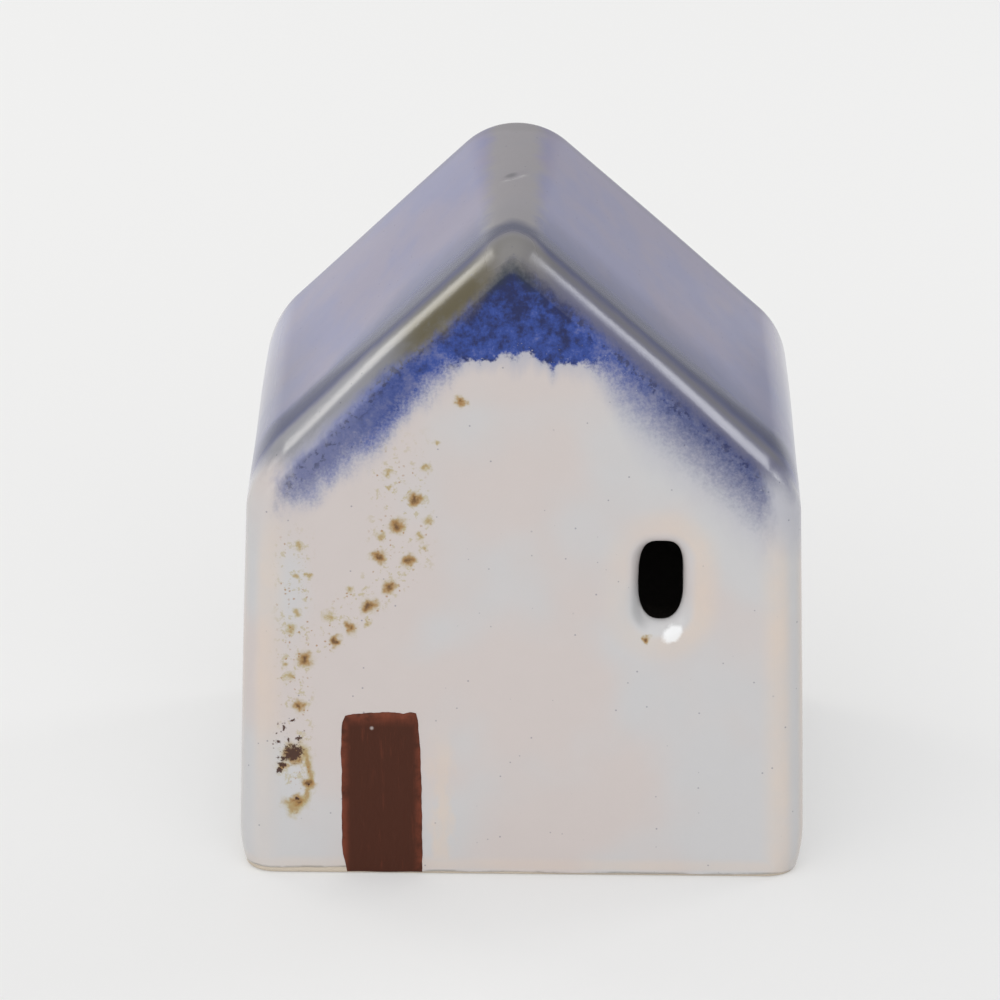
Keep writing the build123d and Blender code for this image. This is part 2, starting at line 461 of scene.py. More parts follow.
def front_cap(edge):
    """Return the front face by row and loop, from inside the window out to the gable's edge."""
    sizes = house()
    loop = gable_loop(edge[:, 0])
    middle = np.array([sizes.window_across, sizes.window_up])
    rays = loop[:, [0, 2]] - middle
    reach = np.linalg.norm(rays, axis=1)
    rays = rays / reach[:, None]
    towards = np.array([0.0, -1.0, 0.0])
    longer = 1.0 + sizes.sill_lip * ease(0.2, -1.0, rays[:, 1])
    rows = []
    for across in np.linspace(sizes.front + sizes.slab, sizes.front + sizes.window_rim, TUNNEL_STEPS + 1):
        inwards = (across - sizes.front - sizes.window_rim) / (sizes.slab - sizes.window_rim)
        fall = sizes.sill_fall * inwards * np.maximum(-rays[:, 1], 0.0)
        flat = middle + rays * window_loop(rays, fall)[:, None]
        rows.append(in_house(flat, across))
    for lean in np.linspace(0, math.pi / 2, RIM_STEPS + 1)[1:]:
        spread = sizes.window_rim * (1 - math.cos(lean)) * longer
        flat = middle + rays * window_loop(rays, spread)[:, None]
        rows.append(in_house(flat, sizes.front + sizes.window_rim * (1 - math.sin(lean))))
    rim = window_loop(rays, sizes.window_rim * longer)
    for share in CAP_SHARES[1:]:
        flat = middle + rays * (rim + (reach - rim) * share)[:, None]
        rows.append(in_house(flat, sizes.front))
    sheet = np.stack(rows)
    sheet = pressed(sheet, np.broadcast_to(towards, sheet.shape))
    sheet[TUNNEL_STEPS:, :, 1] -= sizes.bead_height * pooled(sheet[TUNNEL_STEPS:])
    sheet[0, :, 1] = sizes.front + sizes.slab
    sheet[-1] = gable_loop(edge[:, 0])
    return sheet


def rear_cap(edge):
    """Return the rear face by row and loop, from its middle out to the gable's edge."""
    sizes = house()
    outline, _ = gable_outline(sizes.edge_round, sizes.rear_ridge_round)
    loop = gable_loop(in_house(outline, sizes.rear))
    middle = np.array([0.0, sizes.rear, sizes.left_eave / 2])
    sheet = np.stack([middle + (loop - middle) * share for share in CAP_SHARES])
    sheet = pressed(sheet, np.broadcast_to((0.0, 1.0, 0.0), sheet.shape))
    sheet[-1] = gable_loop(edge[:, 0])
    return sheet


def keyed(points):
    """Return whole-number keys that are alike for points in the same place."""
    return np.round(points.reshape(-1, 3) / (0.0001 * MM)).astype(np.int64)


def corner_quads(shape, closed):
    """Return the vertex numbers of a sheet's four-sided faces."""
    rows, columns = shape
    numbers = np.arange(rows * columns).reshape(rows, columns)
    if closed:
        numbers = np.hstack([numbers, numbers[:, :1]])
    return np.stack([numbers[:-1, :-1], numbers[1:, :-1], numbers[1:, 1:], numbers[:-1, 1:]],
                    axis=-1).reshape(-1, 4)


def shared_normals(sheets, middle):
    """Return smooth outward normals for sheets of points that meet edge to edge.

    Each sheet is a pair: its points by row and column, and whether its columns close in a ring.
    """
    places = np.vstack([points.reshape(-1, 3) for points, _ in sheets])
    _, owner = np.unique(keyed(places), axis=0, return_inverse=True)
    owner = owner.reshape(-1)
    total = np.zeros((owner.max() + 1, 3))
    start = 0
    for points, closed in sheets:
        flat = points.reshape(-1, 3)
        quads = corner_quads(points.shape[:2], closed)
        corners = flat[quads]
        faces = np.cross(corners[:, 2] - corners[:, 0], corners[:, 3] - corners[:, 1])
        if np.sum(faces * (corners.mean(axis=1) - middle)) < 0:
            faces = -faces
        for corner in range(4):
            np.add.at(total, owner[start + quads[:, corner]], faces)
        start += len(flat)
    normals = total[owner]
    normals /= np.maximum(np.linalg.norm(normals, axis=1, keepdims=True), 1e-30)
    pieces = []
    start = 0
    for points, _ in sheets:
        count = points.shape[0] * points.shape[1]
        pieces.append(normals[start:start + count].reshape(points.shape))
        start += count
    return pieces


class ClaySkin:
    """The outer skin of the whole house, with one set of smooth normals over all its slabs."""

    def __init__(self):
        sizes = house()
        self.walls = wall_skin()
        self.front_edge = gable_edge(front=True)
        self.rear_edge = gable_edge(front=False)
        self.front_cap = front_cap(self.front_edge)
        self.rear_cap = rear_cap(self.rear_edge)
        middle = np.array([0.0, 0.0, sizes.left_eave / 2])
        (self.wall_normals, self.front_edge_normals, self.rear_edge_normals,
         self.front_cap_normals, self.rear_cap_normals) = shared_normals(
            [(self.walls, False), (self.front_edge, False), (self.rear_edge, False),
             (self.front_cap, True), (self.rear_cap, True)], middle)


class Piece:
    """Gathers the sheets and flat faces of one closed piece and makes its object."""

    def __init__(self):
        self.points = []
        self.faces = []
        self.count = 0

    def _keep(self, points):
        start = self.count
        self.points.append(points)
        self.count += len(points)
        return start

    def sheet(self, points, normals, closed=False, finish=0):
        """Add a sheet whose faces look along its normals, one normal for each point."""
        flat = points.reshape(-1, 3)
        lit = np.broadcast_to(normals, points.shape).reshape(-1, 3)
        quads = corner_quads(points.shape[:2], closed)
        corners = flat[quads]
        facing = np.cross(corners[:, 2] - corners[:, 0], corners[:, 3] - corners[:, 1])
        away = np.sum(facing * lit[quads].sum(axis=1), axis=1) < 0
        quads[away] = quads[away][:, ::-1]
        self.faces.append((quads + self._keep(flat), lit[quads], finish))

    def polygon(self, points, facing, finish=0):
        """Add one flat face with any number of corners."""
        normal = np.cross(points, np.roll(points, -1, axis=0)).sum(axis=0)
        if normal @ np.asarray(facing) < 0:
            points = points[::-1]
        numbers = np.arange(len(points)) + self._keep(points)
        self.faces.append((numbers[None], np.tile(facing, (1, len(points), 1)), finish))

    def make(self, name, finishes):
        """Return the object, with points in the same place welded and faces without area left out."""
        places = np.vstack(self.points)
        _, first, owner = np.unique(keyed(places), axis=0, return_index=True, return_inverse=True)
        owner = owner.reshape(-1)
        faces = []
        loops = []
        marks = []
        for numbers, normals, finish in self.faces:
            welded = owner[numbers]
            apart = welded != np.roll(welded, 1, axis=1)
            for face, lit, kept in zip(welded.tolist(), normals.tolist(), apart):
                if not kept.all():
                    face = [number for number, keep in zip(face, kept) if keep]
                    lit = [normal for normal, keep in zip(lit, kept) if keep]
                if len(face) > 2:
                    faces.append(face)
                    loops.extend(lit)
                    marks.append(finish)
        mesh = bpy.data.meshes.new(name)
        mesh.from_pydata(places[first].tolist(), [], faces)
        for finish in finishes:
            mesh.materials.append(finish)
        mesh.polygons.foreach_set("material_index", marks)
        mesh.polygons.foreach_set("use_smooth", [True] * len(faces))
        mesh.normals_split_custom_set(loops)
        mesh.update()
        return put_in_scene(name, mesh)


def put_in_scene(name, mesh):
    """Return a new object at the origin with this mesh."""
    made = bpy.data.objects.new(name, mesh)
    bpy.context.scene.collection.objects.link(made)
    return made


def settle(made, node, body):
    """Let a piece stand for its node and ride on its body."""
    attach(made, body)
    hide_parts(node)


def gable_slab(name, edge, edge_normals, cap, cap_normals, facing, finishes):
    """Return a gable: its glazed face and edge, its flat inner side and its foot."""
    piece = Piece()
    piece.sheet(cap, cap_normals, closed=True)
    piece.sheet(edge, edge_normals)
    rim = gable_loop(edge[:, -1])
    hollow = np.stack([cap[0] + (rim - cap[0]) * share for share in np.linspace(0, 1, 9)])
    hollow[..., 1] = rim[0, 1]
    piece.sheet(hollow, (0.0, -facing, 0.0), closed=True, finish=1)
    piece.polygon(foot_ring(edge, cap, rim), (0.0, 0.0, -1.0), finish=1)
    return piece.make(name, finishes)


def foot_ring(edge, cap, rim):
    """Return the points round a gable's foot, in order."""
    stations = len(edge)
    face_ground = cap[-1][stations:]
    joint_ground = rim[stations:]
    return np.vstack([edge[-1, ::-1], face_ground, edge[0], joint_ground[::-1]])


def long_slab(name, skin, first, last, finishes):
    """Return a wall or roof slab between two stations, joint to joint."""
    outer = skin.walls[first:last + 1]
    normals = skin.wall_normals[first:last + 1]
    flat, inner_normals = inner_outline()
    rows = outer[0, :, 1]
    inner = np.stack([in_house(flat[first:last + 1], across) for across in rows], axis=1)
    inward = np.stack([in_house(-inner_normals[first:last + 1], 0.0)] * len(rows), axis=1)
    piece = Piece()
    piece.sheet(outer, normals)
    piece.sheet(inner, inward, finish=1)
    for row, facing in ((0, -1.0), (-1, 1.0)):
        piece.sheet(np.stack([outer[:, row], inner[:, row]]), (0.0, facing, 0.0), finish=1)
    for station, ahead in ((0, -1.0), (-1, 1.0)):
        strip = np.stack([outer[station], inner[station]])
        side = strip[1, 0] - strip[0, 0]
        facing = np.array([-side[2], 0.0, side[0]])
        travel = outer[-1, 0] - outer[0, 0]
        facing *= math.copysign(1.0, ahead * (facing @ travel)) / np.linalg.norm(facing)
        piece.sheet(strip, facing, finish=1)
    return piece.make(name, finishes)


# Door and candle shapes

DOOR_STEPS = 56
DOOR_ROWS = 104
LATHE_STEPS = 480

# How the brush wandered: share of the way along an edge, and the step inwards there in millimetres
DOOR_LEFT = ((0.0, 0.85), (0.03, 0.75), (0.09, 0.4), (0.17, 0.1), (0.66, 0.1), (0.76, 0.0), (0.9, 0.1),
             (0.96, 0.3), (1.0, 0.7))
DOOR_RIGHT = ((0.0, 0.0), (0.14, 0.0), (0.45, 0.1), (0.63, 0.2), (0.82, 0.4), (0.96, 0.75), (1.0, 1.0))
DOOR_TOP = ((0.0, 0.7), (0.06, 0.5), (0.3, 0.2), (0.64, 0.0), (0.82, 0.25), (0.9, 0.0), (1.0, 0.15))


def brushed(edge, shares):
    """Return how far a brushed edge steps in, in metres."""
    places, steps = zip(*edge)
    shaky = 0.03 * np.sin(31 * shares + 0.4) + 0.02 * np.sin(77 * shares + 2.0)
    return (np.interp(shares, places, steps) + shaky + 0.05) * MM


def door_pad():
    """Return the door's front points, by row and column, and the border that lies in the wall."""
    sizes = bpy.context.scene.tealight_door
    across = np.linspace(0, 1, DOOR_STEPS + 1)
    up = np.linspace(0, 1, DOOR_ROWS + 1)
    across = (across + ease(0, 1, across)) / 2
    up = (up + ease(0, 1, up)) / 2
    left = sizes.across - sizes.width / 2 + brushed(DOOR_LEFT, up)
    right = sizes.across + sizes.width / 2 - brushed(DOOR_RIGHT, up)
    top = sizes.top - brushed(DOOR_TOP, across)
    foot = sizes.foot + 0.05 * MM * (1 + np.sin(9 * across))
    x = left[:, None] + (right - left)[:, None] * across[None]
    z = foot[None] + (top - foot)[None] * up[:, None]
    flat = np.stack([x, z], axis=-1)
    wall = pressed(in_house(flat, house().front), np.broadcast_to((0.0, -1.0, 0.0), x.shape + (3,)))
    wide = (right - left).mean()
    tall = (top - foot).mean()
    inside = np.minimum(np.minimum(across, 1 - across)[None] * wide, np.minimum(up, 1 - up)[:, None] * tall)
    swell = np.clip(inside / (0.7 * MM), 0, 1)
    wander = 0.6 * np.sin(z / MM * 0.7)
    strokes = 0.5 + 0.25 * np.sin(x / MM * 5.1 + wander) + 0.25 * np.sin(x / MM * 11.7 + 1.3)
    thick = sizes.enamel * np.sqrt(1 - (1 - swell) ** 2) * (0.84 + 0.16 * strokes)
    sunk = 0.04 * MM
    front = wall.copy()
    front[..., 1] -= thick - sunk * (1 - swell)
    front[..., 2] = z
    back = front.copy()
    back[..., 1] = wall[..., 1] + sunk
    return front, back


def sheet_normals(points, closed, facing):
    """Return smooth normals of one sheet, on the side that faces a direction at its middle."""
    normals = shared_normals([(points, closed)], points.reshape(-1, 3).mean(axis=0))[0]
    middle = normals[normals.shape[0] // 2, normals.shape[1] // 2]
    return normals if middle @ np.asarray(facing) > 0 else -normals


def arc(middle, radius, start, end, steps):
    """Return points of an arc as radius and height, with its angles in degrees."""
    angles = np.radians(np.linspace(start, end, steps + 1))
    return [(middle[0] + radius * math.cos(a), middle[1] + radius * math.sin(a)) for a in angles]


def lathed(profile, ribs=None):
    """Return the points of a turned profile, by profile point and turn, pressed in by ribs."""
    turns = np.linspace(0, math.tau, LATHE_STEPS + 1)[:-1]
    profile = np.array(profile)
    radius = np.repeat(profile[:, :1], LATHE_STEPS, axis=1)
    if ribs is not None:
        count = bpy.context.scene.tealight_candle.ribs
        radius = radius - ribs[:, None] * (0.5 + 0.5 * np.cos(turns * count))
    height = np.repeat(profile[:, 1:], LATHE_STEPS, axis=1)
    return np.stack([radius * np.cos(turns), radius * np.sin(turns), height], axis=-1)


def turned_piece(name, rings, finishes):
    """Return a turned piece made of rings of points, closed where its profile comes back or ends."""
    normals = shared_normals([(rings, True)], np.zeros(3))[0]
    corners = np.cross(rings[1:, 1] - rings[:-1, 0], rings[:-1, 1] - rings[:-1, 0])
    volume = np.sum(corners * rings[:-1, 0])
    piece = Piece()
    piece.sheet(rings, normals if volume > 0 else -normals, closed=True)
    return piece.make(name, finishes)


def cup_profile():
    """Return the cup's profile and the depth of its ribs at each point."""
    sizes = bpy.context.scene.tealight_candle
    outer = sizes.cup_radius
    inner = outer - sizes.cup_wall
    bend = sizes.base_round
    bead = sizes.rim_bead / 2
    middle = (outer - sizes.cup_wall / 2, sizes.cup_height - bead)
    low = [(0.0, 0.12 * MM), (10.2 * MM, 0.12 * MM), (10.7 * MM, 0.08 * MM), (11.2 * MM, 0.0)]
    low += arc((outer - bend, bend), bend, -90, 0, 10)
    side = [(outer, height) for height in np.linspace(bend, middle[1] - 0.45 * MM, 26)[1:]]
    rim = arc(middle, bead, -62, 242, 30)
    inside = [(inner, height) for height in np.linspace(middle[1] - 0.45 * MM, bend, 26)]
    floor = arc((outer - bend, bend), bend - sizes.cup_wall, 0, -90, 10)[1:] + [(0.0, sizes.cup_wall)]
    profile = np.array(low + side + rim + inside + floor)
    grooved = ease(1.6 * MM, 3.2 * MM, profile[:, 1]) * ease(14.6 * MM, 13.4 * MM, profile[:, 1])
    grooved *= profile[:, 0] > inner - 0.01 * MM
    return profile, grooved * sizes.rib_depth


def wax_profile():
    """Return the wax's profile, round the wick and over the sustainer."""
    sizes = bpy.context.scene.tealight_candle
    wall = sizes.cup_radius - sizes.cup_wall - 0.1 * MM
    low = sizes.cup_wall
    bend = sizes.base_round - sizes.cup_wall
    bore = sizes.wick_radius + 0.06 * MM
    level = sizes.wax_level
    pocket = [(bore, level - 0.12 * MM), (bore, 3.85 * MM), (1.3 * MM, 3.85 * MM), (1.3 * MM, 0.65 * MM)]
    pocket += [(6.55 * MM, 0.65 * MM), (6.55 * MM, low)]
    side = arc((wall - bend, low + bend), bend, -90, 0, 8) + [(wall, level - 0.02 * MM)]
    top = []
    for share in np.linspace(0, 1, 30)[1:]:
        radius = wall + (bore - wall) * share
        rise = 0.3 * math.exp(-(wall - radius) / (0.9 * MM))
        rise += 0.22 * math.exp(-(radius - bore) / (0.7 * MM))
        top.append((radius, level - 0.33 * MM + rise * MM))
    return np.array(pocket + side + top + pocket[:1])


# Node helpers

class Wire:
    """One shader value, which adds and multiplies like a number."""

    def __init__(self, graph, socket):
        self.graph = graph
        self.socket = socket

    def __add__(self, other):
        return self.graph.math("ADD", self, other)

    def __radd__(self, other):
        return self.graph.math("ADD", other, self)

    def __sub__(self, other):
        return self.graph.math("SUBTRACT", self, other)

    def __rsub__(self, other):
        return self.graph.math("SUBTRACT", other, self)

    def __mul__(self, other):
        return self.graph.math("MULTIPLY", self, other)

    def __rmul__(self, other):
        return self.graph.math("MULTIPLY", other, self)

    def __truediv__(self, other):
        return self.graph.math("DIVIDE", self, other)

    def __abs__(self):
        return self.graph.math("ABSOLUTE", self)


class Graph:
    """Adds nodes to one material or node group."""

    def __init__(self, tree):
        self.tree = tree

    def node(self, kind, **settings):
        """Return a new node with these settings."""
        made = self.tree.nodes.new(kind)
        for name, value in settings.items():
            setattr(made, name, value)
        return made

    def feed(self, socket, value):
        """Link a wire to a socket, or set the socket to a number or colour."""
        if isinstance(value, Wire):
            self.tree.links.new(value.socket, socket)
        elif isinstance(value, (int, float)):
            socket.default_value = value
        else:
            given = tuple(value)
            socket.default_value = given + (1.0,) * (len(socket.default_value) - len(given))

    def made(self, kind, values, output=0, **settings):
        """Return the output of a new node whose inputs are set by number."""
        node = self.node(kind, **settings)
        for number, value in values.items():
            self.feed(node.inputs[number], value)
        return Wire(self, node.outputs[output])

    def math(self, operation, *values):
        """Return the result of a sum or other calculation."""
        return self.made("ShaderNodeMath", dict(enumerate(values)), operation=operation)

    def least(self, first, second):
        return self.math("MINIMUM", first, second)

    def most(self, first, second):
        return self.math("MAXIMUM", first, second)

    def smooth(self, low, high, value):
        """Return a smooth step from 0 at low to 1 at high, where low may be the larger."""
        return self.made("ShaderNodeMapRange", {0: value, 1: low, 2: high}, interpolation_type="SMOOTHSTEP")

    def band(self, start, rise, fall, end, value):
        """Return 1 between rise and fall, easing to 0 at start and end."""
        return self.smooth(start, rise, value) * self.smooth(end, fall, value)

    def mix(self, share, first, second):
        """Return a colour between two others."""
        return self.made("ShaderNodeMix", {0: share, 6: first, 7: second}, output=2, data_type="RGBA")

    def between(self, share, first, second):
        """Return a number between two others."""
        return self.made("ShaderNodeMix", {0: share, 2: first, 3: second}, data_type="FLOAT")

    def noise(self, place, scale, detail=2.0, rough=0.5, warp=0.0):
        """Return soft noise about 0.5."""
        values = {"Vector": place, "Scale": scale, "Detail": detail, "Roughness": rough, "Distortion": warp}
        return self.made("ShaderNodeTexNoise", values)

    def cells(self, place, scale, output="Distance"):
        """Return the distance to the nearest of scattered points, or that point's random colour."""
        return self.made("ShaderNodeTexVoronoi", {"Vector": place, "Scale": scale}, output=output)

    def stretched(self, place, factors):
        return self.made("ShaderNodeVectorMath", {0: place, 1: factors}, operation="MULTIPLY")

    def parts(self, vector):
        """Return the three parts of a vector."""
        node = self.node("ShaderNodeSeparateXYZ")
        self.feed(node.inputs[0], vector)
        return [Wire(self, socket) for socket in node.outputs]

    def vector(self, x, y, z):
        return self.made("ShaderNodeCombineXYZ", {0: x, 1: y, 2: z})


def new_group(name, inputs, outputs):
    """Return a graph for a new shader group, its named inputs and its output node."""
    tree = bpy.data.node_groups.new(name, "ShaderNodeTree")
    for label, kind in inputs.items():
        tree.interface.new_socket(label, in_out="INPUT", socket_type=kind)
    for label, kind in outputs.items():
        tree.interface.new_socket(label, in_out="OUTPUT", socket_type=kind)
    graph = Graph(tree)
    entry = graph.node("NodeGroupInput")
    given = {label: Wire(graph, entry.outputs[label]) for label in inputs}
    return graph, given, graph.node("NodeGroupOutput")


NUMBER = "NodeSocketFloat"
COLOUR = "NodeSocketColor"
PLACE = "NodeSocketVector"


def house_depths(graph, x, y, z):
    """Return how far a place lies inside each roof line, the nearest wall line and the nearest gable."""
    sizes = house()
    corners = gable_corners() / MM
    lines = [outward(start, end).tolist() for start, end in zip(corners, corners[1:])]
    depths = []
    for (corner_x, corner_z), (out_x, out_z) in zip(corners.tolist(), lines):
        depths.append((corner_x - x) * out_x + (corner_z - z) * out_z)
    left_wall, left_roof, right_roof, right_wall = depths
    gable = graph.least(y - sizes.front / MM, sizes.rear / MM - y)
    return left_roof, right_roof, graph.least(left_wall, right_wall), gable


def mark_places(first, second, middle, direction, long, wide):
    """Return how far a place lies along and aside of a mark, as shader values."""
    first = first - float(middle[0] / MM)
    second = second - float(middle[1] / MM)
    step_first, step_second = direction.tolist()
    along = (first * step_first + second * step_second) / float(long / MM)
    aside = (first * step_second - second * step_first) / float(wide / MM)
    return along, aside


GLAZES = ("white", "blush", "peach", "haze", "lavender", "lilac", "slate", "ash", "iron", "stone", "olive",
          "cobalt", "navy", "periwinkle", "pine", "bead", "clay")


class GlazeFields:
    """The places and noises that the glazes follow, in millimetres."""

    def __init__(self, graph, where):
        self.where = where
        self.x, self.y, self.z = graph.parts(where)
        left, right, self.side, self.gable = house_depths(graph, self.x, self.y, self.z)
        self.under = graph.math("SMOOTH_MIN", left, right, 1.5)
        self.run = self.under - graph.least(self.side, self.gable)
        self.blotch = graph.noise(where, 0.05)
        self.cloud = graph.noise(where, 0.17, 3.0, 0.6)
        self.drip = graph.noise(graph.stretched(where, (1.0, 1.0, 0.45)), 0.55, 4.0, 0.62)
        self.grain = graph.noise(where, 2.3, 2.0, 0.6)
        self.curd = graph.noise(where, 1.05, 3.0, 0.6)
        self.step = graph.noise(graph.stretched(where, (1.0, 1.0, 0.25)), 0.36, 1.0, 0.5)
        self.patch = graph.noise(where, 0.44, 5.0, 0.6)
        self.fine = graph.noise(where, 6.5, 1.0)


def white_glaze(graph, at, given):
    """Return the colour of the white glaze, with its warm patches, peach edges, a painted shade beside the
    window's rim and a painted highlight on the sill's bead.
    """
    sizes = house()
    warm = at.blotch + 0.14 * graph.band(-44, -24, 4, 24, at.x) - 0.16 * graph.smooth(20, 34, at.x) - 0.05
    warm = warm - 0.2 * graph.smooth(-16, -28, at.x) * graph.smooth(30, 16, at.z)
    base = graph.mix(graph.smooth(0.32, 0.62, warm), given["White"], given["Blush"])
    corner = graph.most(at.side, at.gable)
    edge = graph.band(1.4, 3.2, 3.8, 7.4, corner) * graph.smooth(5, 12, at.run)
    edge = edge * (0.4 + 0.6 * graph.most(graph.smooth(8, 32, at.z), graph.smooth(-5, 5, at.x)))
    edge = edge * graph.between(graph.smooth(-40, -42.5, at.x), 1.0, 0.4)
    across = abs(at.x - sizes.window_across / MM)
    up = abs(at.z - sizes.window_up / MM)
    out_x = graph.most(across - 0.4, 0.0)
    out_z = graph.most(up - 3.8, 0.0)
    from_window = graph.math("SQRT", out_x * out_x + out_z * out_z) - 3.0
    halo = graph.band(1.0, 2.3, 3.2, 6.6, from_window) * graph.smooth(20, -20, at.y)
    halo = halo * (0.45 + 0.55 * graph.smooth(17, 24, at.x))
    foot = graph.band(0.7, 1.3, 1.9, 3.4, at.z)
    streak = graph.band(-14.8, -12.4, -12.0, -9.8, at.x + (at.drip - 0.5) * 5.0)
    streak = streak * graph.band(0.5, 4.0, 16.0, 28.0, at.z) * graph.smooth(-30, -36, at.y) * 0.5
    share = graph.most(graph.most(edge * 0.5, halo * 0.5), graph.most(foot * 0.32, streak))
    share = share * (0.3 + 1.4 * at.cloud)
    colour = graph.mix(share, base, given["Peach"])
    # Painted shade: the left side of the window's rim is greyed with the iron colour.
    rim = graph.band(-0.6, 0.0, 0.4, 1.5, from_window) * graph.smooth(19.6, 17.4, at.x)
    rim = rim * graph.smooth(20, -20, at.y)
    colour = graph.mix(rim * 0.3, colour, given["Iron"])
    # Painted highlight: the sill's bead is painted near-white.
    return graph.mix(painted_sill_highlight(graph, at) * 0.85, colour, given["Bead"])


def painted_sill_highlight(graph, at):
    """Return where a highlight is painted near-white over the bead of glaze on the sill, right of its
    middle.
    """
    along, aside = mark_places(at.x, at.z, BEAD_MIDDLE, BEAD_ALONG, BEAD_LENGTH, BEAD_WIDTH)
    apart = graph.math("SQRT", along * along + aside * aside) + (at.curd - 0.5) * 0.8
    return graph.smooth(1.15, 0.6, apart) * graph.smooth(-30, -34, at.y)


def blue_glaze(graph, at, given):
    """Return the colour of the blue under the roof's edge, how far it covers the white, and its haze."""
    reach = 5.4 + 3.6 * graph.smooth(-40, -31, at.x) + 1.0 * graph.band(-27, -23, -20.5, -18, at.x)
    reach = reach - 2.6 * graph.smooth(5, 13, at.x)
    pocket = at.z - 84.6 + (at.step - 0.5) * 5.0
    inside = graph.math("SMOOTH_MAX", reach - at.under, pocket, 1.5)
    crisp = graph.smooth(17, 9, at.x)
    in_pocket = graph.band(-12, -8, 9, 13, at.x) * graph.smooth(80, 84, at.z)
    ragged = inside + graph.between(in_pocket, (at.drip - 0.5) * 4.5, (at.curd - 0.5) * 2.4)
    ragged = ragged + (at.grain - 0.5) * graph.between(in_pocket, 3.4, 1.2)
    soft = graph.between(in_pocket, 2.4, 0.5)
    sharp = graph.smooth(0.0 - soft, soft, ragged)
    loose = graph.smooth(-5.5, 3.6, inside + (at.curd - 0.5) * 2.6 + (at.grain - 0.5) * 3.0)
    cover = graph.between(crisp, loose, sharp)
    pale_end = graph.smooth(-18, -33, at.x)
    started = graph.smooth(1.0, 5.4, at.run + (at.drip - 0.5) * 4.0)
    cover = cover * graph.between(pale_end, 1.0, started * 0.86)
    corner = graph.smooth(3.2, 7.6, at.side + (at.drip - 0.5) * 4.0)
    face = graph.smooth(5.5, 3.0, at.gable)
    cover = cover * graph.between(face, 0.3, corner)
    thick = graph.band(-15, -9, 6, 14, at.x)
    tone = inside * 0.05 + (at.patch - 0.5) * 2.4 + (at.curd - 0.5) * 1.5 + (at.grain - 0.5) * 0.9
    tone = tone + graph.between(thick, 0.0, 0.45)
    colour = graph.mix(graph.smooth(-0.75, 0.45, tone), given["Periwinkle"], given["Cobalt"])
    colour = graph.mix(graph.smooth(0.2, 1.2, tone), colour, given["Navy"])
    colour = graph.mix(pale_end * 0.62, colour, given["Periwinkle"])
    colour = graph.mix(graph.smooth(9, 26, at.x) * 0.62, colour, given["Slate"])
    fleck = graph.smooth(0.66, 0.76, at.grain) * graph.smooth(4.0, 0.0, inside)
    cover = cover * (1.0 - fleck * 0.7)
    deep = graph.band(2.8, 4.8, 7.2, 9.6, at.run + (at.curd - 0.5) * 3.0) * graph.smooth(-12, -20, at.x)
    colour = graph.mix(deep * 0.3, colour, given["Slate"])
    chain = graph.band(1.6, 2.6, 3.6, 5.2, at.run - pale_end * 2.4) * graph.smooth(0.53, 0.62, at.curd)
    colour = graph.mix(chain * 0.85, colour, given["Navy"])
    peak = graph.band(0.4, 2.0, 3.2, 5.4, at.run + (at.curd - 0.5) * 1.5)
    peak = peak * graph.smooth(6.0, 1.5, abs(at.x + 2.3))
    colour = graph.mix(peak * 0.85, colour, given["Pine"])
    spread = graph.between(crisp, -9.5, -3.4)
    haze = graph.smooth(spread, 0.8, inside + (at.drip - 0.5) * 3.0) * graph.between(face, 0.5, corner)
    low = graph.smooth(29, 38, at.x) * graph.band(50, 60, 66, 72, at.z + (at.cloud - 0.5) * 8.0) * face
    return colour, cover, graph.most(haze * 0.9, low * 0.6)


